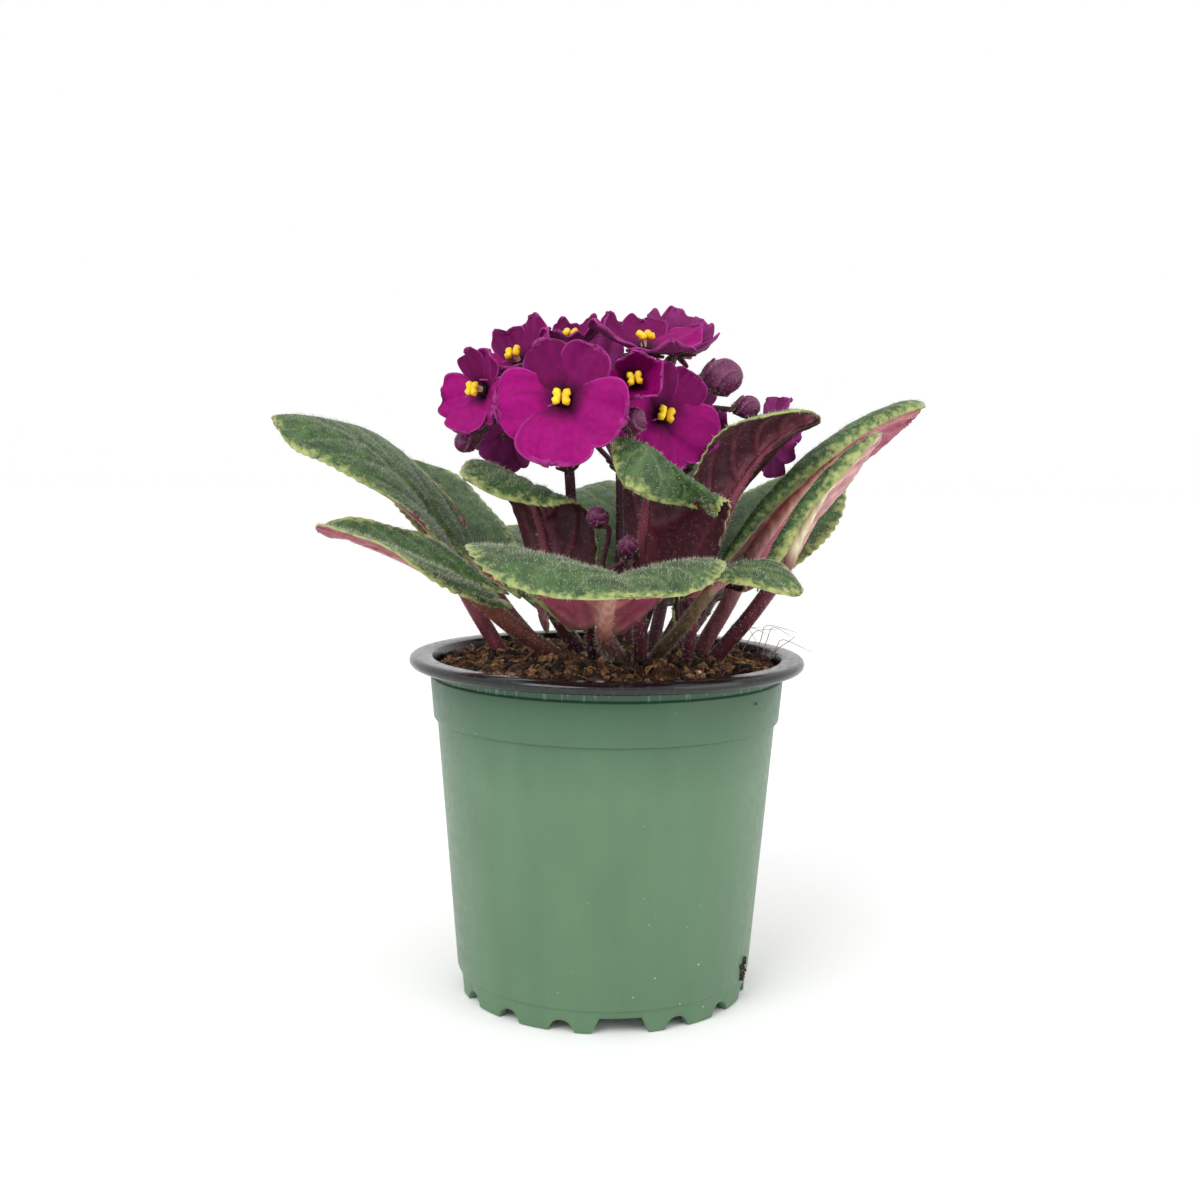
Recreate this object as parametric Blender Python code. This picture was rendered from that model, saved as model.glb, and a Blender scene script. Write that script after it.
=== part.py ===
"""A potted african violet: a green nursery pot filled with potting mix, and a flowering plant in it.

The origin is under the middle of the pot, on the surface that it stands on. +Z is up and -Y is the
side that the plant shows best. Places and sizes in the tables are in millimetres.
"""

import math

import bmesh
import bpy
from mathutils import Matrix, Vector

MM = 0.001
CLEARANCE = 0.35  # gap between two pieces that touch

# ---- the pot ----
RIM_RADIUS = 54.0
POT_HEIGHT = 92.5
RIM_ROLL = 1.5
WALL = 0.9
COLLAR_TOP_RADIUS = 48.2
COLLAR_TOP = 87.0
COLLAR_FOOT_RADIUS = 47.3
COLLAR_FOOT = 75.4
BODY_TOP_RADIUS = 46.2
BODY_FOOT_RADIUS = 40.6
BODY_FOOT = 6.3
FOOT_RADIUS = 39.6
FOOT_WIDTH = 2.2
BASE_UNDERSIDE = 4.8
BASE_TOP = 5.8
POT_FACETS = 48
NOTCH_COUNT = 16
NOTCH_TURN = -83.0  # direction of the first large notch, in degrees
LARGE_NOTCH_EVERY = 4
NOTCH_HEIGHT = 4.0
LARGE_NOTCH_TOP = 11.0
LARGE_NOTCH_FOOT = 15.0
SMALL_NOTCH_RADIUS = 3.3
SMALL_NOTCH_DROP = 0.4  # how far below the foot the middle of a small notch's arch is
CUTTER_FACETS = 16
CUTTER_DEPTH = 6.6  # deep enough to pass through what it cuts
DRAIN_RADIUS = 4.0
DRAIN_CIRCLE = 25.0
DRAIN_COUNT = 4
DRAIN_CUT = 3.0  # deep enough to pass through the base and not into the soil's place

# ---- the potting mix ----
SOIL_EDGE = 89.6
SOIL_MOUND = 2.6
SOIL_FACETS = 32

# ---- the crown ----
CROWN_PLACE = (1.5, 4.5)
CROWN_RADIUS = 3.2
CROWN_BOTTOM = 82.0
CROWN_TOP = 96.0
CROWN_FACETS = 16

# ---- the leaves ----
BLADE_THICKNESS = 1.1
STALK_DEPTH = 5.0  # how far a leaf stalk reaches below the soil's surface
LOBE = 0.20  # how far the two lobes beside the stalk reach back, as a part of the blade's length
CELLS_ALONG = 7
CELLS_ACROSS = 6
STALK_SIDES = 6
RIB_REACH = 0.45  # how far the thick midrib runs along the blade
SECTION_STEPS = 8
STALK_FOOT_SWELL = 1.05  # how much thicker a leaf stalk is at its foot
EDGE_BEND = 2.5  # the higher this is, the nearer its edge a blade bends

# Each leaf: where its stalk leaves the soil, where the blade starts, the blade's middle and its tip;
# the way its upper side faces at the stalk and at the tip; how far the left and the right half reach
# from the midrib; the stalk's radius; and how each half lies, as its slope in degrees beside the
# midrib and at the edge, first at the stalk and then at the tip.
LEAVES = {
    "leaf_01": dict(foot=(-30, 10), start=(-44.5, 10, 122), middle=(-68, 6, 149), tip=(-92, 2, 156),
                    face=((0.45, -0.5, 0.7), (0.35, -0.5, 0.8)), reach=(18.5, 18.5), stalk=2.1,
                    left=(35, 20, -10, -45), right=(0, -20, -35, -55)),
    "leaf_02": dict(foot=(-14, -5), start=(-33.5, -14, 112), middle=(-54, -18, 121), tip=(-76, -16, 126),
                    face=((0.35, -0.25, 0.9), (0.2, 0.1, 0.95)), reach=(18, 13), stalk=2.3,
                    left=(5, -20, 18, 8), right=(5, -10, 40, 35)),
    "leaf_03": dict(foot=(-8, 3), start=(-15, -2, 107), middle=(-21, -3, 137), tip=(-36, -22, 140),
                    face=((0.3, 0.9, 0.3), (0.1, -0.3, 0.95)), reach=(19, 15), stalk=2.0,
                    left=(5, -30, -20, -60), right=(40, 50, 0, -30)),
    "leaf_04": dict(foot=(3, -11), start=(-1, -30, 104), middle=(2, -54, 118), tip=(6, -78, 116),
                    face=((0.0, 0.3, 0.95), (0.0, 0.0, 1.0)), reach=(27, 37), stalk=2.4,
                    left=(36, 15, 2, -30), right=(36, 8, 2, -35)),
    "leaf_05": dict(foot=(13, -4), start=(24, -26, 114), middle=(35, -33, 119), tip=(46, -43, 113.5),
                    face=((0.1, -0.2, 0.95), (0.3, -0.2, 0.93)), reach=(13, 13), stalk=1.8,
                    left=(10, -10, 5, -20), right=(5, -30, 0, -40)),
    "leaf_06": dict(foot=(9, -12), start=(9, -15, 119), middle=(11, -24, 148), tip=(5, -39, 139),
                    face=((0.35, 0.9, 0.1), (0.2, -0.3, 1.0)), reach=(26, 11), stalk=1.8,
                    left=(0, -10, -40, -65), right=(30, 30, -20, -40)),
    "leaf_07": dict(foot=(15, 5), start=(28.5, -2, 126), middle=(39.5, -4, 147), tip=(54, -12, 158),
                    face=((-0.3, 0.9, 0.3), (-0.3, 0.7, 0.6)), reach=(17.5, 17.5), stalk=1.9,
                    left=(60, 70, 30, 10), right=(0, -30, 0, -60)),
    "leaf_08": dict(foot=(26, 12), start=(38.5, 12, 121), middle=(63, 21, 147), tip=(91, 36, 161),
                    face=((-0.45, 0.6, 0.6), (-0.45, 0.5, 0.7)), reach=(18, 18), stalk=2.2,
                    left=(0, 10, 0, 0), right=(8, -135, 8, -135)),
    "leaf_09": dict(foot=(29.5, 0), start=(45.2, -6, 118.5), middle=(56, -9, 138), tip=(70.5, -14, 153.5),
                    face=((-0.6, 0.45, 0.6), (-0.6, 0.4, 0.65)), reach=(13, 13), stalk=2.1,
                    left=(0, 0, 0, 0), right=(8, -135, 8, -135)),
    "leaf_10": dict(foot=(22, -4), start=(22, -5, 103), middle=(27, -6, 114), tip=(37, -10, 112),
                    face=((-0.3, 0.7, 0.6), (0.1, 0.5, 0.9)), reach=(8, 8), stalk=1.5,
                    left=(0, 0, 0, 0), right=(0, -10, 0, -10)),
    "leaf_11": dict(foot=(20, 20), start=(32, 28, 112), middle=(50, 43, 128), tip=(66, 60, 143),
                    face=((-0.3, -0.45, 0.85), (-0.2, -0.4, 0.9)), reach=(19, 19), stalk=2.1,
                    left=(10, 0, 5, -10), right=(-5, -25, -5, -30)),
    "leaf_12": dict(foot=(16, 28), start=(25, 40, 104), middle=(37, 57, 112), tip=(45, 78, 116),
                    face=((-0.2, -0.3, 0.9), (-0.1, -0.1, 1.0)), reach=(19, 19), stalk=2.1,
                    left=(12, 0, 5, -15), right=(12, 0, 5, -15)),
    "leaf_13": dict(foot=(6, 22), start=(5, 32, 108), middle=(4, 50, 129), tip=(2, 74, 138),
                    face=((0.0, -0.5, 0.85), (0.0, -0.3, 0.95)), reach=(20, 20), stalk=2.1,
                    left=(8, -10, 5, -30), right=(8, -10, 5, -30)),
    "leaf_14": dict(foot=(-9, 23), start=(-17, 34, 106), middle=(-25, 53, 118), tip=(-33, 76, 123),
                    face=((0.2, -0.4, 0.9), (0.1, -0.2, 0.95)), reach=(19, 19), stalk=2.1,
                    left=(10, 0, 5, -20), right=(10, 0, 5, -20)),
    "leaf_15": dict(foot=(-20, 18), start=(-34, 24, 112), middle=(-50, 38, 132), tip=(-66, 50, 145),
                    face=((0.4, -0.4, 0.8), (0.3, -0.3, 0.9)), reach=(17, 17), stalk=2.1,
                    left=(5, -15, 5, -30), right=(10, 0, 5, -20)),
    "leaf_16": dict(foot=(13, 16), start=(16, 24, 114), middle=(23, 34, 132), tip=(31, 47, 145),
                    face=((-0.3, -0.5, 0.8), (-0.2, -0.4, 0.9)), reach=(15, 15), stalk=1.8,
                    left=(10, 0, 5, -15), right=(10, 0, 5, -15)),
}

# ---- the flowers ----
PETAL_THICKNESS = 0.9
COROLLA_SPOKES = 20
COROLLA_RINGS = 3
THROAT_RADIUS = 1.6
THROAT_DEPTH = 2.2
PEDICEL_RADIUS = 0.75
CALYX_RADIUS = 1.9
CALYX_LENGTH = 2.4
ANTHER_RADIUS = 1.4

# Each flower: the middle of its throat, the way it faces, its radius, how far its petals cup forward
# (a part of the radius; negative bends them back) and how far it is turned about its own axis.
FLOWERS = {
    "01": dict(place=(-12, -29, 161), facing=(-0.12, -0.97, 0.12), radius=17.0, cup=0.12, turn=8),
    "02": dict(place=(-35, -10, 163.5), facing=(-0.7, -0.68, 0.1), radius=12.0, cup=0.2, turn=-5),
    "03": dict(place=(6, -23, 166), facing=(0.05, -0.97, 0.15), radius=8.5, cup=0.75, turn=10),
    "04": dict(place=(14, -13, 157.5), facing=(0.35, -0.92, 0.08), radius=15.5, cup=0.12, turn=-14),
    "05": dict(place=(-25.5, -1, 172.5), facing=(-0.45, -0.55, 0.7), radius=13.5, cup=0.35, turn=25),
    "06": dict(place=(-11, 6, 178), facing=(-0.1, -0.35, 0.9), radius=10.5, cup=0.4, turn=0),
    "07": dict(place=(9, -1, 177), facing=(0.1, -0.34, 0.93), radius=16.0, cup=0.3, turn=12),
    "08": dict(place=(19, 20, 178), facing=(0.2, 0.45, 0.8), radius=12.0, cup=0.5, turn=40),
    "09": dict(place=(47, 23, 153), facing=(0.75, 0.3, -0.15), radius=12.5, cup=0.1, turn=0),
    "10": dict(place=(-29, 12, 153), facing=(-0.6, 0.6, -0.2), radius=12.0, cup=0.1, turn=20),
    "11": dict(place=(-4, 31, 168), facing=(-0.1, 0.95, 0.3), radius=15.0, cup=0.12, turn=-10),
    "12": dict(place=(22, 34, 158), facing=(0.4, 0.9, 0.1), radius=13.5, cup=0.15, turn=15),
}

# Each bud: its middle, the way it points, its radius and its length.
BUDS = {
    "bud_1": dict(place=(30, 1, 168), facing=(0.85, -0.45, 0.15), radius=5.0, length=12.0),
    "bud_2": dict(place=(37, -2, 160), facing=(0.8, -0.5, 0.1), radius=3.1, length=7.0),
    "bud_3": dict(place=(6, -26.5, 155.5), facing=(0.1, -0.8, 0.6), radius=3.0, length=8.0),
    "bud_4": dict(place=(-38.5, -3, 150), facing=(-0.8, -0.1, -0.5), radius=3.0, length=7.0),
    "bud_5": dict(place=(-3, -23, 131), facing=(-0.4, -0.7, 0.5), radius=2.6, length=6.0),
    "bud_6": dict(place=(5, -24, 123.5), facing=(0.1, -0.7, 0.6), radius=2.5, length=6.5),
    "bud_7": dict(place=(-16, 26, 150), facing=(-0.5, 0.6, -0.6), radius=3.0, length=7.5),
}

# Each flower stalk: where it leaves the soil, the point where it branches, its radius, and what its
# branches carry.
FLOWER_STALKS = {
    "flower_stalk_1": dict(foot=(-4, 9), hub=(-11, 2, 143), radius=1.6,
                           carries=("01", "02", "05", "10", "bud_4")),
    "flower_stalk_2": dict(foot=(3, -3), hub=(3, -3, 144), radius=1.5,
                           carries=("03", "06", "07", "bud_3")),
    "flower_stalk_3": dict(foot=(8, 8), hub=(19, 6, 142), radius=1.6,
                           carries=("04", "08", "09", "bud_1", "bud_2")),
    "flower_stalk_4": dict(foot=(2, 14), hub=(4, 20, 142), radius=1.5,
                           carries=("11", "12", "bud_7")),
    "flower_stalk_5": dict(foot=(-4, -6), hub=(-2, -16, 116), radius=1.4,
                           carries=("bud_5", "bud_6")),
}

# ---- colours (red, green, blue), roughness and metallic value ----
GREEN_PLASTIC = ((0.16, 0.27, 0.16), 0.38, 0.0)
PEAT = ((0.06, 0.03, 0.015), 0.95, 0.0)
LEAF_GREEN = ((0.07, 0.17, 0.06), 0.6, 0.0)
STALK_PURPLE = ((0.12, 0.03, 0.04), 0.55, 0.0)
PETAL_MAGENTA = ((0.33, 0.003, 0.24), 0.6, 0.0)
BUD_PLUM = ((0.2, 0.03, 0.13), 0.55, 0.0)
POLLEN_YELLOW = ((0.9, 0.72, 0.02), 0.5, 0.0)


def along(points, fraction):
    """The point a fraction of the way along the curve through start, middle and tip."""
    start, middle, tip = points
    bend = 2 * middle - (start + tip) / 2
    rest = 1 - fraction
    return rest * rest * start + 2 * rest * fraction * bend + fraction * fraction * tip


def direction(points, fraction):
    start, middle, tip = points
    bend = 2 * middle - (start + tip) / 2
    return ((1 - fraction) * (bend - start) + fraction * (tip - bend)).normalized()


def blade_outline(fraction):
    """Half the blade's width, as a part of its widest, from the stalk (0) to the rounded tip (1)."""
    widest = 0.42
    if fraction < widest:
        return 1 - 0.32 * ((widest - fraction) / widest) ** 2
    return max(0.1, math.sqrt(max(0.0, 1 - ((fraction - widest) / (1 - widest)) ** 2.2)))


def half_section(slopes, reach):
    """Sideways and upward distance across one half of the blade, which bends most near its edge."""
    first, last = (math.radians(slope) for slope in slopes)
    sideways = upward = 0.0
    for step in range(SECTION_STEPS):
        part = reach * (step + 0.5) / SECTION_STEPS
        slope = first + (last - first) * part**EDGE_BEND
        sideways += math.cos(slope) * reach / SECTION_STEPS
        upward += math.sin(slope) * reach / SECTION_STEPS
    return sideways, upward


def blade_frame(leaf, fraction):
    """Midrib point, and the directions along, to the right and up from the blade there."""
    points = [Vector(leaf[key]) for key in ("start", "middle", "tip")]
    inside = min(max(fraction, 0.0), 1.0)
    ahead = direction(points, inside)
    place = along(points, inside)
    if fraction < 0:
        place = place + ahead * (points[2] - points[0]).length * fraction
    base, end = (Vector(face) for face in leaf["face"])
    up = base.lerp(end, inside)
    up = (up - up.dot(ahead) * ahead).normalized()
    return place, ahead, ahead.cross(up), up


def blade_point(leaf, fraction, across):
    """A point of the blade: across runs from -1 at the left edge to 1 at the right edge."""
    reach = abs(across)
    back = LOBE * (1 - fraction) ** 3 * math.sin(math.pi * reach**1.2)
    place, _, right, up = blade_frame(leaf, fraction - back)
    half = leaf["reach"][across > 0] * blade_outline(fraction)
    slopes = leaf["right"] if across > 0 else leaf["left"]
    slopes = [slopes[i] + (slopes[i + 2] - slopes[i]) * fraction for i in (0, 1)]
    side, rise = half_section(slopes, reach)
    return place + right * math.copysign(half * side, across) + up * half * rise


# ---- meshes ----


def material(name, finish):
    colour, roughness, metallic = finish
    made = bpy.data.materials.new(name)
    made.use_nodes = True
    shader = made.node_tree.nodes["Principled BSDF"]
    shader.inputs["Base Color"].default_value = (*colour, 1.0)
    shader.inputs["Roughness"].default_value = roughness
    shader.inputs["Metallic"].default_value = metallic
    return made


def add_object(name, bm, finish=None):
    """A new object from a bmesh in millimetres; without a finish it is a cutter or a guide."""
    bmesh.ops.scale(bm, vec=(MM, MM, MM), verts=bm.verts)
    mesh = bpy.data.meshes.new(name)
    bm.to_mesh(mesh)
    bm.free()
    made = bpy.data.objects.new(name, mesh)
    bpy.context.scene.collection.objects.link(made)
    if finish:
        mesh.materials.append(material(name, finish))
        mesh.shade_smooth()
    else:
        made.hide_render = True
        made.display_type = "WIRE"
    return made


def add_boolean(piece, other, operation):
    modifier = piece.modifiers.new(other.name, "BOOLEAN")
    modifier.operation = operation
    modifier.object = other


def add_ring(bm, centre, turn, radius, sides, cap=False):
    """A ring of vertices square to the turned Z axis; its edges."""
    made = bmesh.ops.create_circle(
        bm, cap_ends=cap, segments=sides, radius=radius,
        matrix=Matrix.Translation(centre) @ turn.to_matrix().to_4x4(),
    )
    return list({edge for vert in made["verts"] for edge in vert.link_edges})


def add_tube(bm, points, radii, sides):
    """A closed round rod through the points, with a radius at each."""
    points = [Vector(point) for point in points]
    ahead = [(points[min(i + 1, len(points) - 1)] - points[max(i - 1, 0)]).normalized()
             for i in range(len(points))]
    turn = Vector((0, 0, 1)).rotation_difference(ahead[0])
    rings = []
    for i, point in enumerate(points):
        if i:
            turn = ahead[i - 1].rotation_difference(ahead[i]) @ turn
        ends = i in (0, len(points) - 1)
        rings.append(add_ring(bm, point, turn, radii[i], sides, cap=ends))
    for lower, upper in zip(rings, rings[1:]):
        bmesh.ops.bridge_loops(bm, edges=lower + upper)
    bmesh.ops.recalc_face_normals(bm, faces=bm.faces)


def smooth_path(points, steps):
    """Points along a smooth curve (Catmull-Rom) through the given ones."""
    points = [Vector(point) for point in points]
    points = [2 * points[0] - points[1], *points, 2 * points[-1] - points[-2]]
    path = []
    for a, b, c, d in zip(points, points[1:], points[2:], points[3:]):
        for step in range(steps):
            t = step / steps
            path.append(0.5 * ((2 * b) + (c - a) * t + (2 * a - 5 * b + 4 * c - d) * t * t
                               + (3 * b - a - 3 * c + d) * t**3))
    return [*path, points[-2]]


def add_turned(bm, profile, facets):
    """A closed turned shape from (radius, height) points that start and end on the axis."""
    verts = [bm.verts.new((radius, 0, height)) for radius, height in profile]
    edges = [bm.edges.new((a, b)) for a, b in zip(verts, verts[1:])]
    bmesh.ops.spin(bm, geom=verts + edges, axis=(0, 0, 1), cent=(0, 0, 0),
                   angle=2 * math.pi, steps=facets, use_merge=True)
    bmesh.ops.remove_doubles(bm, verts=bm.verts, dist=0.001)
    bmesh.ops.recalc_face_normals(bm, faces=bm.faces)


# ---- the pot and its soil ----


def pot_profile():
    rim_middle = (RIM_RADIUS - RIM_ROLL, POT_HEIGHT - RIM_ROLL)
    roll = [(rim_middle[0] + RIM_ROLL * math.cos(angle), rim_middle[1] + RIM_ROLL * math.sin(angle))
            for angle in (math.radians(degrees) for degrees in range(-90, 91, 36))]
    outside = [
        (FOOT_RADIUS, 0), (FOOT_RADIUS + 0.4, BODY_FOOT - 0.3), (BODY_FOOT_RADIUS, BODY_FOOT),
        (BODY_TOP_RADIUS, COLLAR_FOOT - 0.5), (COLLAR_FOOT_RADIUS, COLLAR_FOOT),
        (COLLAR_TOP_RADIUS, COLLAR_TOP), (COLLAR_TOP_RADIUS - 0.6, COLLAR_TOP + 0.4),
        (COLLAR_TOP_RADIUS + 0.2, POT_HEIGHT - 2 * RIM_ROLL),
    ]
    inside = [
        (COLLAR_TOP_RADIUS + 0.4, POT_HEIGHT), (COLLAR_TOP_RADIUS - 0.9, POT_HEIGHT - 1.2),
        (COLLAR_TOP_RADIUS - 1.5, COLLAR_TOP), (COLLAR_FOOT_RADIUS - WALL, COLLAR_FOOT + 0.3),
        (BODY_TOP_RADIUS - WALL, COLLAR_FOOT - 0.8), (BODY_FOOT_RADIUS - WALL - 0.4, BASE_TOP + 1.0),
        (BODY_FOOT_RADIUS - WALL - 1.2, BASE_TOP),
    ]
    return outside, roll, inside


def add_notch_cutter(index):
    """A notch in the foot: every fourth one is a wide trapezoid and the others are small arches."""
    bm = bmesh.new()
    depth = FOOT_RADIUS - FOOT_WIDTH / 2
    if index % LARGE_NOTCH_EVERY:
        bmesh.ops.create_cone(bm, cap_ends=True, segments=CUTTER_FACETS, radius1=SMALL_NOTCH_RADIUS,
                              radius2=SMALL_NOTCH_RADIUS, depth=CUTTER_DEPTH,
                              matrix=Matrix.Rotation(math.pi / 2, 4, "Y"))
        bmesh.ops.translate(bm, vec=(0, 0, -SMALL_NOTCH_DROP), verts=bm.verts)
    else:
        bmesh.ops.create_cube(bm, size=1)
        for vert in bm.verts:
            half = LARGE_NOTCH_TOP / 2 if vert.co.z > 0 else LARGE_NOTCH_FOOT / 2
            height = NOTCH_HEIGHT if vert.co.z > 0 else -SMALL_NOTCH_DROP
            vert.co = (vert.co.x * CUTTER_DEPTH, math.copysign(half, vert.co.y), height)
    bmesh.ops.translate(bm, vec=(depth, 0, 0), verts=bm.verts)
    turn = math.radians(NOTCH_TURN + index * 360 / NOTCH_COUNT)
    bmesh.ops.rotate(bm, matrix=Matrix.Rotation(turn, 3, "Z"), verts=bm.verts)
    return add_object(f"notch_cutter_{index}", bm)


def add_drain_cutter(index):
    bm = bmesh.new()
    angle = math.radians(45 + index * 360 / DRAIN_COUNT)
    place = Vector((math.cos(angle), math.sin(angle), 0)) * DRAIN_CIRCLE if index < DRAIN_COUNT else Vector()
    place.z = (BASE_UNDERSIDE + BASE_TOP) / 2
    bmesh.ops.create_cone(bm, cap_ends=True, segments=CUTTER_FACETS, radius1=DRAIN_RADIUS,
                          radius2=DRAIN_RADIUS, depth=DRAIN_CUT, matrix=Matrix.Translation(place))
    return add_object(f"drain_cutter_{index}", bm)


def add_pot():
    bm = bmesh.new()
    outside, roll, inside = pot_profile()
    underside = [(0, BASE_UNDERSIDE), (FOOT_RADIUS - FOOT_WIDTH, BASE_UNDERSIDE),
                 (FOOT_RADIUS - FOOT_WIDTH, 0)]
    add_turned(bm, [*underside, *outside, *roll, *inside, (0, BASE_TOP)], POT_FACETS)
    pot = add_object("nursery_pot", bm, GREEN_PLASTIC)
    for index in range(NOTCH_COUNT):
        add_boolean(pot, add_notch_cutter(index), "DIFFERENCE")
    for index in range(DRAIN_COUNT + 1):
        add_boolean(pot, add_drain_cutter(index), "DIFFERENCE")


def soil_height(radius):
    """Height of the soil's surface: a low mound in the middle, lowest just inside the rim."""
    return SOIL_EDGE + SOIL_MOUND * math.cos(radius / COLLAR_TOP_RADIUS * math.pi / 2)


def add_soil(stalk_feet):
    """Soil that fills the pot, with a hole round each stalk in stalk_feet (path, radius)."""
    bm = bmesh.new()
    _, _, inside = pot_profile()
    side = [(radius - CLEARANCE, height) for radius, height in reversed(inside[2:])]
    side[0] = (side[0][0], BASE_TOP + CLEARANCE)
    edge = side[-1][0]
    top = [(edge * part, soil_height(edge * part)) for part in (1, 0.85, 0.65, 0.4, 0.2, 0)]
    add_turned(bm, [(0, BASE_TOP + CLEARANCE), *side, *top], SOIL_FACETS)
    soil = add_object("potting_mix", bm, PEAT)
    for index, (path, radius) in enumerate(stalk_feet):
        bm = bmesh.new()
        deeper = Vector(path[0]) + (Vector(path[0]) - Vector(path[1])).normalized() * CLEARANCE
        add_tube(bm, [deeper, *path[1:]], [radius * 1.06 + CLEARANCE] * len(path), 2 * STALK_SIDES)
        add_boolean(soil, add_object(f"soil_cutter_{index}", bm), "DIFFERENCE")


# ---- the leaves ----


def leaf_stalk_path(leaf):
    """The stalk from below the soil to the blade, then under the blade as its thick midrib."""
    x, y = leaf["foot"]
    surface = soil_height(math.hypot(x, y))
    start = Vector(leaf["start"])
    lean = (start - Vector((x, y, surface))) * 0.3
    below = Vector((x, y, surface - STALK_DEPTH)) - Vector((lean.x, lean.y, 0)) * 0.25
    rib = []
    for fraction in (0.0, RIB_REACH / 2, RIB_REACH):
        place, _, _, up = blade_frame(leaf, fraction)
        rib.append(place - up * leaf["stalk"] * (0.9 - 1.2 * fraction))
    foot = Vector((x, y, surface))
    bow = foot.lerp(rib[0], 0.5) + Vector((lean.x, lean.y, 0)) * 0.15
    return smooth_path([below, foot, bow, rib[0]], 2) + rib[1:]


def leaf_stalk_radii(leaf, count):
    thick = leaf["stalk"]
    return [thick * STALK_FOOT_SWELL] * 3 + [thick] * (count - 6) + [thick * 0.9, thick * 0.6, thick * 0.28]


def add_leaf(name, leaf):
    bm = bmesh.new()
    bmesh.ops.create_grid(bm, x_segments=CELLS_ALONG, y_segments=CELLS_ACROSS, size=0.5)
    for vert in bm.verts:
        vert.co = blade_point(leaf, vert.co.x + 0.5, vert.co.y * -2)
    blade = add_object(name, bm, LEAF_GREEN)
    thickness = blade.modifiers.new("thickness", "SOLIDIFY")
    thickness.thickness = BLADE_THICKNESS * MM
    thickness.offset = 0
    path = leaf_stalk_path(leaf)
    bm = bmesh.new()
    add_tube(bm, path, leaf_stalk_radii(leaf, len(path)), STALK_SIDES)
    add_boolean(blade, add_object(name + "_stalk", bm), "UNION")
    return path[:5], leaf["stalk"] * STALK_FOOT_SWELL


# ---- the flowers, buds and their stalks ----


def facing_matrix(flower):
    """Turns +Z to the way the flower faces, with its two small petals uppermost."""
    ahead = Vector(flower["facing"]).normalized()
    up = Vector((0, 0, 1)) - Vector((0, 0, 1)).dot(ahead) * ahead
    up.normalize()
    right = up.cross(ahead)
    turn = Matrix((right, up, ahead)).transposed()
    spin = Matrix.Rotation(math.radians(flower.get("turn", 0)), 3, "Z")
    return Matrix.Translation(Vector(flower["place"])) @ (turn @ spin).to_4x4()


CLEFT = 0.55  # how far out two petals part, as a part of the flower's radius

# Direction of each petal's middle in degrees from the flower's right, half its angle, and its length
# as a part of the flower's radius: two small petals above and three large ones below.
PETALS = ((58, 36, 0.84), (122, 36, 0.84), (-164, 41, 0.98), (-90, 39, 1.0), (-16, 41, 0.98))


def corolla_edge(angle):
    """How far the petals reach in a direction, as a part of the flower's radius."""
    reach = CLEFT
    for middle, half, length in PETALS:
        apart = abs((math.degrees(angle) - middle + 180) % 360 - 180)
        if apart < half:
            reach = max(reach, length * (1 - (apart / half) ** 2.6) ** 0.45)
    return reach


def add_corolla(name, flower):
    bm = bmesh.new()
    radius = flower["radius"]
    bmesh.ops.create_circle(bm, segments=COROLLA_SPOKES, radius=THROAT_RADIUS, cap_ends=True)
    rim = list(bm.edges)
    for _ in range(COROLLA_RINGS):
        grown = bmesh.ops.extrude_edge_only(bm, edges=rim)["geom"]
        rim = [item for item in grown if isinstance(item, bmesh.types.BMEdge)]
        rim = [edge for edge in rim if len(edge.link_faces) == 1]
    bm.verts.index_update()
    for vert in bm.verts:
        ring, spoke = divmod(vert.index, COROLLA_SPOKES)
        angle = 2 * math.pi * spoke / COROLLA_SPOKES
        part = ring / COROLLA_RINGS
        reach = THROAT_RADIUS + (radius * corolla_edge(angle) - THROAT_RADIUS) * part
        depth = flower["cup"] * radius * part**2 - THROAT_DEPTH * (1 - part) ** 3
        vert.co = (reach * math.cos(angle), reach * math.sin(angle), depth)
    bmesh.ops.recalc_face_normals(bm, faces=bm.faces)
    bmesh.ops.transform(bm, matrix=facing_matrix(flower), verts=bm.verts)
    corolla = add_object(name, bm, PETAL_MAGENTA)
    thickness = corolla.modifiers.new("thickness", "SOLIDIFY")
    thickness.thickness = PETAL_THICKNESS * MM
    thickness.offset = 0


def add_anthers(name, flower):
    """The two joined pollen sacs, on their short filament above the throat."""
    made = []
    for side in (-1, 1):
        bm = bmesh.new()
        place = Matrix.Translation((side * ANTHER_RADIUS * 0.8, 0, 0.6))
        bmesh.ops.create_uvsphere(bm, u_segments=6, v_segments=4, radius=ANTHER_RADIUS,
                                  matrix=place @ Matrix.Diagonal((1, 1.5, 0.9, 1)))
        bmesh.ops.transform(bm, matrix=facing_matrix(flower), verts=bm.verts)
        made.append(add_object(name if side < 0 else name + "_sac", bm, POLLEN_YELLOW if side < 0 else None))
    add_boolean(made[0], made[1], "UNION")


def add_bud(name, bud):
    bm = bmesh.new()
    stretch = Matrix.Diagonal((1, 1, bud["length"] / (2 * bud["radius"]), 1))
    bmesh.ops.create_uvsphere(bm, u_segments=8, v_segments=6, radius=bud["radius"],
                              matrix=facing_matrix(bud) @ stretch)
    add_object(name, bm, BUD_PLUM)


def pedicel_end(carried):
    """Where a pedicel ends, just behind what it carries, and the way that it points there."""
    if carried in BUDS:
        bud = BUDS[carried]
        ahead = Vector(bud["facing"]).normalized()
        return Vector(bud["place"]) - ahead * (bud["length"] / 2 + CLEARANCE), ahead
    flower = FLOWERS[carried]
    ahead = Vector(flower["facing"]).normalized()
    behind = THROAT_DEPTH + PETAL_THICKNESS / 2 + CLEARANCE
    return Vector(flower["place"]) - ahead * behind, ahead


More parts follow.
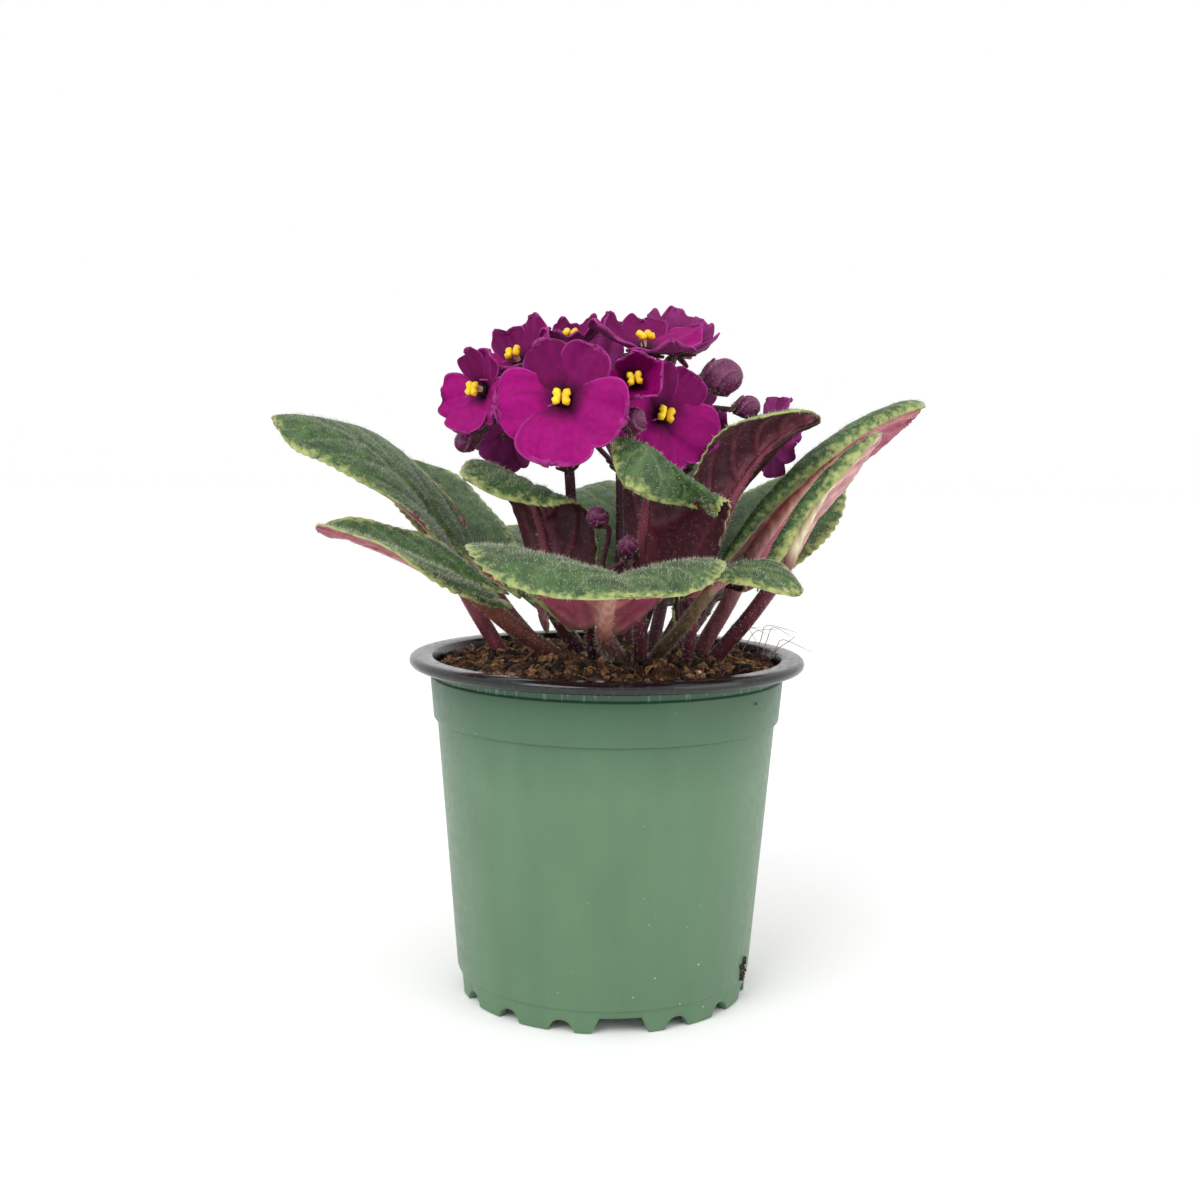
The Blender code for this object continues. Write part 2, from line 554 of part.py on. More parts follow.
def add_flower_stalk(name, stalk):
    """A stalk from the soil to its hub, where it branches into one pedicel for each flower and bud."""
    x, y = stalk["foot"]
    surface = soil_height(math.hypot(x, y))
    foot = Vector((x, y, surface))
    hub = Vector(stalk["hub"])
    bow = foot.lerp(hub, 0.5) + Vector((x - CROWN_PLACE[0], y - CROWN_PLACE[1], 0)) * 0.25
    path = smooth_path([foot - Vector((0, 0, STALK_DEPTH)), foot, bow, hub], 2)
    bm = bmesh.new()
    add_tube(bm, path, [stalk["radius"]] * len(path), STALK_SIDES)
    made = add_object(name, bm, STALK_PURPLE)
    for carried in stalk["carries"]:
        end, ahead = pedicel_end(carried)
        length = (end - hub).length
        approach = end - ahead * max(CALYX_LENGTH, length * 0.3)
        start = hub + (hub - path[-2]).normalized() * 0.2
        neck = end - ahead * CALYX_LENGTH * 0.5
        points = smooth_path([start, start.lerp(approach, 0.5), approach, neck], 2)
        radii = [PEDICEL_RADIUS] * (len(points) - 1) + [CALYX_RADIUS * 0.7, CALYX_RADIUS]
        bm = bmesh.new()
        add_tube(bm, [*points, end], radii, STALK_SIDES)
        add_boolean(made, add_object(f"{name}_to_{carried}", bm), "UNION")
    return path[:5], stalk["radius"]


def add_crown():
    bm = bmesh.new()
    shoulder = CROWN_TOP - CROWN_RADIUS * 0.6
    add_turned(bm, [(0, CROWN_BOTTOM), (CROWN_RADIUS, CROWN_BOTTOM), (CROWN_RADIUS, shoulder),
                    (CROWN_RADIUS * 0.7, CROWN_TOP - 0.8), (0, CROWN_TOP)], CROWN_FACETS)
    bmesh.ops.translate(bm, vec=(*CROWN_PLACE, 0), verts=bm.verts)
    add_object("crown_stem", bm, STALK_PURPLE)
    return [(*CROWN_PLACE, CROWN_BOTTOM - CLEARANCE), (*CROWN_PLACE, CROWN_TOP + 1)], CROWN_RADIUS


def main():
    for old in list(bpy.data.objects):
        bpy.data.objects.remove(old)
    stalk_feet = [add_crown()]
    stalk_feet += [add_leaf(name, leaf) for name, leaf in LEAVES.items()]
    stalk_feet += [add_flower_stalk(name, stalk) for name, stalk in FLOWER_STALKS.items()]
    for number, flower in FLOWERS.items():
        add_corolla("corolla_" + number, flower)
        add_anthers("anthers_" + number, flower)
    for name, bud in BUDS.items():
        add_bud(name, bud)
    add_soil(stalk_feet)
    add_pot()


main()
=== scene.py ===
# %% [markdown]
# # A potted african violet
#
# This lesson dresses a imported model of a small african violet in a green nursery pot. The packed
# model is a fixed frame: it holds plain solids in the right places. Here each of them gets its real
# surface, such as hairy leaves with sunken veins, velvety petals and crumbly peat. The first cell
# loads the frame, and gives a way to measure the box of any of its solids.

# %% Load the frame
import math

import bmesh
import bpy
import numpy as np
from mathutils import Matrix, Vector, noise


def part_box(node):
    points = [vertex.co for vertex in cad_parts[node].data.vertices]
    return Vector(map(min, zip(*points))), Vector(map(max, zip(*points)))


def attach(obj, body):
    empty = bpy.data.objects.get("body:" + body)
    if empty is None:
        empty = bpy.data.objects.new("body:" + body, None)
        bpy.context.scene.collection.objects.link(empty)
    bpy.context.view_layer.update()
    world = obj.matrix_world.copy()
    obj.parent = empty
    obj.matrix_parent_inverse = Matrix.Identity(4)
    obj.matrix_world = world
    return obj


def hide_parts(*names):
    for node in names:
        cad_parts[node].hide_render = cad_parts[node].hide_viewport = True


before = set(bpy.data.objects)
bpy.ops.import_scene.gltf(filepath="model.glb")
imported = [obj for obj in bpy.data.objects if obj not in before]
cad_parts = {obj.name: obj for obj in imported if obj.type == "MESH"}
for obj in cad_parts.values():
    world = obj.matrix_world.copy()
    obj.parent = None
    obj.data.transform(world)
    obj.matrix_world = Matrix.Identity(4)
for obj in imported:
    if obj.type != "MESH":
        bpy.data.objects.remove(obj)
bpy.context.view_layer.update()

MM = 0.001

# %% [markdown]
# ## The camera
#
# The camera comes first, because everything else is judged through it. It stands 400 mm in front of
# the pot's middle, level with the upper leaves, and looks slightly down on the plant.

# %% Camera
scene = bpy.context.scene
CAMERA_PLACE = (0.0, -400 * MM, 148.5 * MM)
CAMERA_DOWN = math.radians(5.9)
CAMERA_YAW = 0.0052
CAMERA_ROLL = math.radians(0.75)
LENS_MM = 44.0

camera = bpy.data.objects.new("camera", bpy.data.cameras.new("camera"))
scene.collection.objects.link(camera)
camera.data.lens = LENS_MM
camera.data.clip_start = 10 * MM
camera.matrix_world = (
    Matrix.Translation(CAMERA_PLACE)
    @ Matrix.Rotation(CAMERA_YAW, 4, "Z")
    @ Matrix.Rotation(math.pi / 2 - CAMERA_DOWN, 4, "X")
    @ Matrix.Rotation(CAMERA_ROLL, 4, "Z")
)
scene.camera = camera
print("camera at", CAMERA_PLACE)

# %% [markdown]
# ## Helpers for materials
#
# Colours are written as sRGB hex values, which is how a colour picker shows them, and one function
# turns them linear. Another adds a shader node with its settings, values and links. The rest are the
# few patterns that natural surfaces share, each made of several nodes: noise of a known size in
# millimetres, a number that varies with it, a colour painted over another, and a bumpy surface.

# %% Colours and nodes


def linear(hex_colour):
    """An sRGB hex colour such as #4F7A45 as linear red, green, blue and alpha."""
    parts = [int(hex_colour[i:i + 2], 16) / 255 for i in (1, 3, 5)]
    return (*(c / 12.92 if c <= 0.04045 else ((c + 0.055) / 1.055) ** 2.4 for c in parts), 1.0)


def add_node(tree, kind, inputs=None, **settings):
    """A new node; each input is given a value, or a socket to link from."""
    node = tree.nodes.new("ShaderNode" + kind)
    for name, value in settings.items():
        setattr(node, name, value)
    for name, value in (inputs or {}).items():
        if isinstance(value, bpy.types.NodeSocket):
            tree.links.new(value, node.inputs[name])
        else:
            node.inputs[name].default_value = value
    return node


def new_material(name, values):
    """A material with its tree and its Principled shader, whose constants are set by name."""
    made = bpy.data.materials.new(name)
    made.use_nodes = True
    shader = made.node_tree.nodes["Principled BSDF"]
    for socket, value in values.items():
        shader.inputs[socket].default_value = value
    return made, made.node_tree, shader


def grain(tree, size_mm, detail=3.0, stretch=(1, 1, 1)):
    """Noise on object coordinates whose blotches are about size_mm across; its value socket."""
    place = add_node(tree, "TexCoord").outputs["Object"]
    turned = add_node(tree, "Mapping", {"Vector": place, "Scale": stretch}).outputs["Vector"]
    values = {"Vector": turned, "Scale": 1 / (size_mm * MM), "Detail": detail}
    return add_node(tree, "TexNoise", values).outputs[0]


def uneven(tree, size_mm, detail, low, high, least, most):
    """A number that goes from least to most as the grain goes from low to high."""
    values = {"Value": grain(tree, size_mm, detail), "From Min": low, "From Max": high,
              "To Min": least, "To Max": most}
    return add_node(tree, "MapRange", values).outputs["Result"]


def paint(tree, under, over, value, low=0.0, high=1.0, most=1.0, kind="MIX"):
    """A colour with a hex colour painted over it, by 0 where value is low and by most where it is high."""
    span = {"Value": value, "From Min": low, "From Max": high, "To Min": 0.0, "To Max": most}
    cover = add_node(tree, "MapRange", span).outputs["Result"]
    colours = {0: cover, 6: under, 7: linear(over)}
    return add_node(tree, "Mix", colours, data_type="RGBA", blend_type=kind).outputs[2]


def roughen(tree, shader, size_mm, detail, depth_mm, strength=1.0):
    """Bumps of about size_mm across and depth_mm deep on the shader's surface."""
    values = {"Height": grain(tree, size_mm, detail), "Distance": depth_mm * MM, "Strength": strength}
    tree.links.new(add_node(tree, "Bump", values).outputs["Normal"], shader.inputs["Normal"])


print("helpers ready")

# %% [markdown]
# ## Helpers for meshes
#
# Every piece is made with bmesh, in millimetres, and turned to metres when it becomes an object.
# The object stays at the origin, unturned, so its place is in its mesh, as it is for the frame's own
# solids. Two vertex attributes carry what the materials need: a tint, and how near an edge or a vein
# a point is.

# %% Meshes


def new_bmesh():
    """A bmesh whose vertices have a tint colour and margin and vein values."""
    bm = bmesh.new()
    bm.verts.layers.float_color.new("tint")
    bm.verts.layers.float.new("margin")
    bm.verts.layers.float.new("vein")
    return bm


def new_piece(name, bm, materials, replaces=()):
    """Turns a bmesh in millimetres into a finished piece that rides on the frame."""
    bmesh.ops.scale(bm, vec=(MM, MM, MM), verts=bm.verts)
    mesh = bpy.data.meshes.new(name)
    bm.to_mesh(mesh)
    bm.free()
    for finish in materials:
        mesh.materials.append(finish)
    mesh.shade_smooth()
    return place_piece(name, mesh, replaces)


def place_piece(name, mesh, replaces=()):
    piece = bpy.data.objects.new(name, mesh)
    scene.collection.objects.link(piece)
    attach(piece, "root")
    if replaces:
        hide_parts(*replaces)
    return piece


def mix(first, second, part):
    """The colour a part of the way from the first to the second."""
    part = min(max(part, 0.0), 1.0)
    return tuple(a + (b - a) * part for a, b in zip(first, second))


def smooth_path(points, steps):
    """Points along a smooth curve (Catmull-Rom) through the given ones."""
    points = [Vector(point) for point in points]
    points = [2 * points[0] - points[1], *points, 2 * points[-1] - points[-2]]
    path = []
    for a, b, c, d in zip(points, points[1:], points[2:], points[3:]):
        for step in range(steps):
            t = step / steps
            path.append(0.5 * ((2 * b) + (c - a) * t + (2 * a - 5 * b + 4 * c - d) * t * t
                               + (3 * b - a - 3 * c + d) * t**3))
    return [*path, points[-2]]


def add_tube(bm, path, radii, sides, tints, finish=0):
    """A closed round rod along the path, with a radius and a tint at each point."""
    tint = bm.verts.layers.float_color["tint"]
    ahead = [(path[min(i + 1, len(path) - 1)] - path[max(i - 1, 0)]).normalized() for i in range(len(path))]
    turn = Vector((0, 0, 1)).rotation_difference(ahead[0])
    rings = []
    for i, point in enumerate(path):
        if i:
            turn = ahead[i - 1].rotation_difference(ahead[i]) @ turn
        ring = bmesh.ops.create_circle(
            bm, cap_ends=i in (0, len(path) - 1), segments=sides, radius=radii[i],
            matrix=Matrix.Translation(point) @ turn.to_matrix().to_4x4(),
        )["verts"]
        for vert in ring:
            vert[tint] = tints[i]
        rings.append(ring)
    for lower, upper in zip(rings, rings[1:]):
        edges = {edge for vert in (*lower, *upper) for edge in vert.link_edges
                 if edge.other_vert(vert) in lower or edge.other_vert(vert) in upper}
        edges = [edge for edge in edges if len(set(edge.verts) & set(lower)) in (0, 2)]
        bmesh.ops.bridge_loops(bm, edges=edges)
    faces = list({face for ring in rings for vert in ring for face in vert.link_faces})
    for face in faces:
        face.material_index = finish
    bmesh.ops.recalc_face_normals(bm, faces=faces)
    return [vert for ring in rings for vert in ring]


def stamp(name, shape, frames, origins, tints, finish):
    """One mesh with a copy of the shape for each 3 by 3 frame, origin and tint."""
    verts = np.array([vert.co for vert in shape.verts])
    shape.verts.index_update()
    faces = [[vert.index for vert in face.verts] for face in shape.faces]
    shape.free()
    count = len(frames)
    places = np.einsum("nij,kj->nki", frames, verts) + origins[:, None, :]
    mesh = bpy.data.meshes.new(name)
    all_faces = [[v + i * len(verts) for v in face] for i in range(count) for face in faces]
    mesh.from_pydata((places.reshape(-1, 3) * MM).tolist(), [], all_faces)
    layer = mesh.attributes.new("tint", "FLOAT_COLOR", "POINT")
    layer.data.foreach_set("color", np.repeat(tints, len(verts), axis=0).ravel())
    mesh.materials.append(finish)
    return place_piece(name, mesh)


print("mesh helpers ready")

# %% [markdown]
# ## Floor and light
#
# A seamless white floor, and even light from all round, as in a light tent. One large soft lamp from
# the upper left gives the shapes a bright side, and a weaker one fills from the right.

# %% Floor and light
FLOOR_SIZE = 12000.0  # mm; wide enough that its edge is lost in the white


def add_floor():
    bm = bmesh.new()
    bmesh.ops.create_grid(bm, x_segments=1, y_segments=1, size=FLOOR_SIZE / 2 * MM)
    mesh = bpy.data.meshes.new("floor")
    bm.to_mesh(mesh)
    bm.free()
    floor = bpy.data.objects.new("floor", mesh)
    floor.location.z = -0.2 * MM
    scene.collection.objects.link(floor)
    paint, _, _ = new_material("matt white backdrop", {"Base Color": linear("#FFFFFF"), "Roughness": 0.9})
    mesh.materials.append(paint)


def add_lamp(name, place, target, width, power):
    lamp = bpy.data.objects.new(name, bpy.data.lights.new(name, "AREA"))
    lamp.data.size = width * MM
    lamp.data.energy = power
    lamp.location = Vector(place) * MM
    lamp.rotation_mode = "QUATERNION"
    lamp.rotation_quaternion = (Vector(place) - Vector(target)).to_track_quat("Z", "Y")
    scene.collection.objects.link(lamp)


add_floor()
MIDDLE = (0, 0, 100)
add_lamp("key light", (-450, -700, 800), MIDDLE, 600, 5.0)
add_lamp("fill light", (700, -400, 350), MIDDLE, 600, 1.6)
scene.world = bpy.data.worlds.new("light tent")
scene.world.use_nodes = True
tent = scene.world.node_tree.nodes["Background"]
tent.inputs["Color"].default_value = linear("#FFFFFF")
tent.inputs["Strength"].default_value = 1.0
scene.view_settings.view_transform = "Standard"
print("floor and two lamps")

# %% [markdown]
# ## The pot
#
# A nursery pot is thermoformed: a hot sheet of polypropylene is drawn over a mould. The outside is a
# satin grey-green, and the rolled rim is glossy and black. A turned profile makes the shell. The foot
# is cut into lugs by arched notches, and these come from lifting the foot's lower edge by a height
# that depends on the direction, so the foot needs no separate cut.

# %% The pot's shape
pot_low, pot_high = (Vector(corner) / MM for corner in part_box("nursery_pot"))
RIM_RADIUS = (pot_high.x - pot_low.x) / 2
POT_HEIGHT = pot_high.z
RIM_ROLL = 1.5
WALL = 0.9
COLLAR_TOP_RADIUS = 48.2
COLLAR_TOP = 87.0
COLLAR_FOOT_RADIUS = 47.3
COLLAR_FOOT = 75.4
BODY_TOP_RADIUS = 46.2
BODY_FOOT_RADIUS = 40.6
BODY_FOOT = 6.3
FOOT_RADIUS = 39.6
FOOT_WIDTH = 2.2
BASE_UNDERSIDE = 4.8
BASE_TOP = 5.8
NOTCH_COUNT = 16
NOTCH_TURN = -83.0  # direction of the first large notch, in degrees
LARGE_NOTCH_EVERY = 4
NOTCH_HEIGHT = 4.0
LARGE_NOTCH_TOP = 11.0
LARGE_NOTCH_FOOT = 15.0
SMALL_NOTCH_RADIUS = 3.3
DRAIN_RADIUS = 4.0
DRAIN_CIRCLE = 25.0
DRAIN_COUNT = 4
POT_STEPS = 384


def arc(centre, radius, start, end, steps):
    """Points of an arc in the profile's plane, between two directions in degrees."""
    angles = (math.radians(start + (end - start) * i / steps) for i in range(steps + 1))
    return [(centre[0] + radius * math.cos(a), centre[1] + radius * math.sin(a)) for a in angles]


def pot_profile():
    """The shell's section as (radius, height), from the axis underneath round to the axis inside."""
    rim = (RIM_RADIUS - RIM_ROLL, POT_HEIGHT - RIM_ROLL)
    fillet = 0.5
    underside = [(0, BASE_UNDERSIDE), (FOOT_RADIUS - FOOT_WIDTH, BASE_UNDERSIDE)]
    foot = [(FOOT_RADIUS - FOOT_WIDTH, 0), (FOOT_RADIUS - 0.2, 0), (FOOT_RADIUS, 0.2)]
    step = [(FOOT_RADIUS + 0.35, BODY_FOOT - 0.6), (FOOT_RADIUS + 0.4, BODY_FOOT - 0.3),
            (BODY_FOOT_RADIUS - 0.15, BODY_FOOT - 0.1), (BODY_FOOT_RADIUS, BODY_FOOT + 0.4)]
    collar_corner = (COLLAR_FOOT_RADIUS - fillet, COLLAR_FOOT + fillet)
    collar_foot = [(BODY_TOP_RADIUS, COLLAR_FOOT - 1.2), (BODY_TOP_RADIUS + 0.15, COLLAR_FOOT - 0.3),
                   *arc(collar_corner, fillet, -80, 0, 3)]
    collar_top = [*arc((COLLAR_TOP_RADIUS - fillet, COLLAR_TOP - fillet), fillet, 0, 80, 3),
                  (COLLAR_TOP_RADIUS - 0.6, COLLAR_TOP + 0.3),
                  (COLLAR_TOP_RADIUS - 0.3, POT_HEIGHT - 2 * RIM_ROLL - 0.3),
                  (COLLAR_TOP_RADIUS + 0.2, POT_HEIGHT - 2 * RIM_ROLL)]
    roll = arc(rim, RIM_ROLL, -90, 90, 10)
    inside = [
        (COLLAR_TOP_RADIUS + 0.4, POT_HEIGHT), (COLLAR_TOP_RADIUS - 0.4, POT_HEIGHT - 0.3),
        (COLLAR_TOP_RADIUS - 0.9, POT_HEIGHT - 1.2),
        (COLLAR_TOP_RADIUS - 1.5, COLLAR_TOP), (COLLAR_FOOT_RADIUS - WALL, COLLAR_FOOT + 0.3),
        (BODY_TOP_RADIUS - WALL, COLLAR_FOOT - 0.8), (BODY_FOOT_RADIUS - WALL - 0.4, BASE_TOP + 1.0),
        (BODY_FOOT_RADIUS - WALL - 1.2, BASE_TOP), (0, BASE_TOP),
    ]
    return [*underside, *foot, *step, *collar_foot, *collar_top, *roll, *inside]


def notch_lift(angle):
    """How high the foot's lower edge is lifted in a direction, in radians, to form the notches."""
    pitch = 360 / NOTCH_COUNT
    turned = (math.degrees(angle) - NOTCH_TURN) / pitch
    index = round(turned)
    aside = abs(turned - index) * math.radians(pitch) * FOOT_RADIUS
    if index % LARGE_NOTCH_EVERY:
        return math.sqrt(max(0.0, SMALL_NOTCH_RADIUS**2 - aside**2)) * 0.9
    slope = (LARGE_NOTCH_FOOT - LARGE_NOTCH_TOP) / 2
    return NOTCH_HEIGHT * min(1.0, max(0.0, (LARGE_NOTCH_FOOT / 2 - aside) / slope))


def add_profile(bm, profile, steps):
    """A closed turned shape from (radius, height) points that start and end on the axis."""
    verts = [bm.verts.new((radius, 0, height)) for radius, height in profile]
    edges = [bm.edges.new(pair) for pair in zip(verts, verts[1:])]
    bmesh.ops.spin(bm, geom=verts + edges, axis=(0, 0, 1), cent=(0, 0, 0), angle=2 * math.pi,
                   steps=steps, use_merge=True)
    bmesh.ops.remove_doubles(bm, verts=bm.verts, dist=0.001)
    bmesh.ops.recalc_face_normals(bm, faces=bm.faces)


def cut_notches(bm):
    """Lifts the foot's lower edge; the step above it, at the seam, stays where it is."""
    for vert in bm.verts:
        reach = math.hypot(vert.co.x, vert.co.y)
        if vert.co.z < 0.5 and reach > FOOT_RADIUS - FOOT_WIDTH - 0.1:
            vert.co.z += notch_lift(math.atan2(vert.co.y, vert.co.x))


def drain_cutter():
    """Five round bars that cut the drain holes: one in the middle and four round it."""
    bm = bmesh.new()
    height = (BASE_UNDERSIDE + BASE_TOP) / 2
    for index in range(DRAIN_COUNT + 1):
        angle = math.radians(45 + index * 360 / DRAIN_COUNT)
        reach = DRAIN_CIRCLE if index < DRAIN_COUNT else 0
        place = Matrix.Translation((reach * math.cos(angle), reach * math.sin(angle), height))
        bmesh.ops.create_cone(bm, cap_ends=True, segments=48, radius1=DRAIN_RADIUS,
                              radius2=DRAIN_RADIUS, depth=3, matrix=place)
    bmesh.ops.scale(bm, vec=(MM, MM, MM), verts=bm.verts)
    mesh = bpy.data.meshes.new("drain cutter")
    bm.to_mesh(mesh)
    bm.free()
    return bpy.data.objects.new("drain_cutter", mesh)


print("pot", round(2 * RIM_RADIUS, 1), "mm across and", round(POT_HEIGHT, 1), "mm high")

# %% [markdown]
# ## The pot's plastics
#
# The sheet is one piece, printed green outside and left black at the rim. Drawing the sheet over a
# mould leaves faint upright streaks and a soft orange-peel, so the gloss is never quite even. Fine
# pale dust and a few splashes of peat cling to the lower half.

# %% The pot's materials
POLYPROPYLENE_IOR = 1.49
COLLAR_SHADE_LOW = 62.0  # mm; painted shade under the rim starts below the collar
UPRIGHT_STREAK = (1, 1, 0.25)  # a grain stretched to four times its width
UPRIGHT_TICK = (1, 1, 0.02)


def object_height(tree):
    """Height above the object's own origin, in metres."""
    place = add_node(tree, "TexCoord").outputs["Object"]
    return add_node(tree, "SeparateXYZ", {"Vector": place}).outputs["Z"]


def green_polypropylene(name, light, dark, ticks=0.0):
    """Satin thermoformed polypropylene: faint streaks and dust, and painted shade deepening the green up to
    the collar.
    """
    made, tree, shader = new_material(name, {"IOR": POLYPROPYLENE_IOR})
    colour = paint(tree, linear(light), dark, grain(tree, 9, 4, UPRIGHT_STREAK), 0.3, 0.7, 0.55)
    colour = paint(tree, colour, dark, grain(tree, 28, 2), 0.35, 0.7, 0.35)
    shade_low, shade_high = COLLAR_SHADE_LOW * MM, COLLAR_TOP * MM
    # painted shade: the green darkens with height from below the collar to the rim, for the shadow of the
    # rim and leaves
    colour = paint(tree, colour, "#2C5038", object_height(tree), shade_low, shade_high, 0.9)
    colour = paint(tree, colour, "#5C8A72", grain(tree, 1.6, 1, UPRIGHT_TICK), 0.58, 0.62, ticks)
    colour = paint(tree, colour, "#DDE2D6", grain(tree, 0.9, 1), 0.79, 0.83, 0.35)
    tree.links.new(colour, shader.inputs["Base Color"])
    tree.links.new(uneven(tree, 2.2, 3, 0.3, 0.7, 0.34, 0.46), shader.inputs["Roughness"])
    roughen(tree, shader, 1.1, 2, 0.05, 0.5)
    return made


def black_rim_plastic():
    """Glossy black polypropylene, a little scuffed and dusty on top of the roll."""
    made, tree, shader = new_material("glossy black polypropylene rim", {"IOR": POLYPROPYLENE_IOR})
    colour = paint(tree, linear("#0B0D0D"), "#4A5554", grain(tree, 1.6, 5), 0.52, 0.75, 0.2)
    tree.links.new(colour, shader.inputs["Base Color"])
    tree.links.new(uneven(tree, 1.6, 5, 0.52, 0.75, 0.16, 0.4), shader.inputs["Roughness"])
    roughen(tree, shader, 2.5, 2, 0.06, 0.5)
    return made


body_plastic = green_polypropylene("satin green polypropylene", "#58795A", "#4A694C")
# painted shade: the strip under the rolled rim gets near-black greens for the rim's shadow, with faint
# mould ticks
rim_shade_plastic = green_polypropylene("shaded green polypropylene strip", "#1A3A2E", "#10261E", 0.5)
rim_plastic = black_rim_plastic()
print("three plastics")

# %% [markdown]
# ## Making the pot
#
# The profile is spun into a closed shell and the notches are lifted into its foot. The drain holes
# could be modelled face by face, but a Boolean modifier with five round bars is simpler. It is applied
# at once, so that the finished mesh holds the holes. Each face then takes its plastic from its height.

# %% Make the pot
def finish_of_height(middle):
    """0 for the green body, 1 for the strip under the rim, darkened as painted shade, 2 for the black rim
    and inside.
    """
    reach = math.hypot(middle.x, middle.y)
    if middle.z > POT_HEIGHT - 2 * RIM_ROLL - 0.1:
        return 2
    if middle.z > COLLAR_TOP + 0.1:
        return 1 if reach > COLLAR_TOP_RADIUS - 0.8 else 2
    outer = FOOT_RADIUS + (COLLAR_TOP_RADIUS - FOOT_RADIUS) * middle.z / COLLAR_TOP
    return 0 if reach > outer - 2.4 or middle.z < BASE_UNDERSIDE + 0.1 else 2


def make_pot():
    bm = new_bmesh()
    add_profile(bm, pot_profile(), POT_STEPS)
    cut_notches(bm)
    for face in bm.faces:
        face.material_index = finish_of_height(face.calc_center_median())
    pot = new_piece("pot_shell", bm, [body_plastic, rim_shade_plastic, rim_plastic],
                    ["nursery_pot"])
    cutter = drain_cutter()
    holes = pot.modifiers.new("drain holes", "BOOLEAN")
    holes.object = cutter
    pot.data = bpy.data.meshes.new_from_object(pot.evaluated_get(bpy.context.evaluated_depsgraph_get()))
    pot.modifiers.clear()
    bpy.data.objects.remove(cutter)
    pot.data.set_sharp_from_angle(angle=math.radians(40))
    return pot


pot = make_pot()
print("pot shell:", len(pot.data.polygons), "faces")

# %% [markdown]
# ## The potting mix
#
# Peat potting mix is a bed of crumbs, fibres and a little perlite. The bed is a turned solid whose top
# is lifted and lowered by noise, so that it is uneven at every size from a clump to a crumb. Loose
# crumbs, bark fibres and perlite are then stamped over it by the hundred, each from a small shape of
# a few dozen faces.

# %% The bed of peat
SOIL_EDGE = 89.6
SOIL_MOUND = 2.6
SOIL_RADIUS = COLLAR_TOP_RADIUS - 1.7
SOIL_GAP = 0.4  # between the peat and the pot
CLUMP_WIDTH, CLUMP_HEIGHT = 9.0, 1.1
CRUMB_WIDTH, CRUMB_HEIGHT = 2.4, 0.75
SOIL_RINGS = 44
SOIL_STEPS = 200
random = np.random.default_rng(7)


def soil_height(x, y):
    """Height of the peat's surface: a low mound with clumps and crumbs on it."""
    reach = min(math.hypot(x, y) / COLLAR_TOP_RADIUS, 1)
    mound = SOIL_EDGE + SOIL_MOUND * math.cos(reach * math.pi / 2)
    clump = noise.fractal(Vector((x, y, 3)) / CLUMP_WIDTH, 0.8, 2.1, 3) * CLUMP_HEIGHT
    crumb = noise.fractal(Vector((x, y, 7)) / CRUMB_WIDTH, 0.7, 2.2, 3) * CRUMB_HEIGHT
    return mound + (clump + crumb) * (1 - 0.5 * reach**6) - 0.3


def peat_material(name, roughness=0.95):
    """Moist fibrous peat: nearly black in the gaps, warm brown on the crumbs, and dead matt."""
    made, tree, shader = new_material(name, {"Roughness": roughness})
    colour = paint(tree, linear("#22150D"), "#6A472E", grain(tree, 0.7, 5), 0.35, 0.68)
    colour = paint(tree, colour, "#331D10", grain(tree, 3.5, 3), 0.4, 0.7, 0.6)
    colour = paint(tree, colour, "#A8703C", grain(tree, 0.9, 2), 0.64, 0.7)
    tree.links.new(colour, shader.inputs["Base Color"])
    roughen(tree, shader, 0.7, 5, 0.5)
    return made


def make_soil():
    bm = new_bmesh()
    side = [
        (BODY_FOOT_RADIUS - WALL - 1.5, BASE_TOP + SOIL_GAP),
        (BODY_FOOT_RADIUS - WALL - 0.8, BASE_TOP + 1.1),
        (BODY_TOP_RADIUS - WALL - SOIL_GAP, COLLAR_FOOT - 0.8),
        (COLLAR_FOOT_RADIUS - WALL - SOIL_GAP, COLLAR_FOOT + 0.3),
        (SOIL_RADIUS, COLLAR_TOP),
    ]
    top = [(SOIL_RADIUS * (1 - ring / SOIL_RINGS), SOIL_EDGE) for ring in range(SOIL_RINGS + 1)]
    add_profile(bm, [(0, BASE_TOP + SOIL_GAP), *side, *top], SOIL_STEPS)
    for vert in bm.verts:
        if vert.co.z > SOIL_EDGE - 0.1:
            vert.co.z = soil_height(vert.co.x, vert.co.y)
    return new_piece("peat_bed", bm, [peat_material("fibrous peat")], ["potting_mix"])


soil = make_soil()
print("peat bed:", len(soil.data.polygons), "faces")

# %% [markdown]
# ## Crumbs, fibres and perlite
#
# A crumb is an icosphere of 80 faces pushed in and out by noise. A fibre is a thin bent rod. Perlite is
# a rounder, paler crumb. Each is stamped in random places with a random turn, size and tint.

# %% Loose pieces of the mix
CRUMB_TINTS = [linear(c) for c in ("#1D120C", "#3E2A1B", "#5E422C", "#7E5C3C", "#A88258")]
FIBRE_TINTS = [linear(c) for c in ("#7A4E2A", "#A87440", "#C9995C", "#4A2E1A")]
PERLITE_TINTS = [linear(c) for c in ("#E6E0D4", "#CDBFA8")]


def lump(seed, depth):
    bm = bmesh.new()
    bmesh.ops.create_icosphere(bm, subdivisions=2, radius=1)
    for vert in bm.verts:
        vert.co *= 1 + depth * noise.noise(vert.co * 1.7 + Vector((seed, 0, 0)))
    return bm


def bent_rod(seed):
    bm = new_bmesh()
    bend = Vector((math.sin(seed), math.cos(seed * 1.7), 0)) * 0.35
    path = smooth_path([(0, 0, 0), bend + Vector((0, 0, 0.5)), (0.2, -0.1, 1)], 3)
    add_tube(bm, path, [0.06] * len(path), 4, [(1, 1, 1, 1)] * len(path))
    return bm


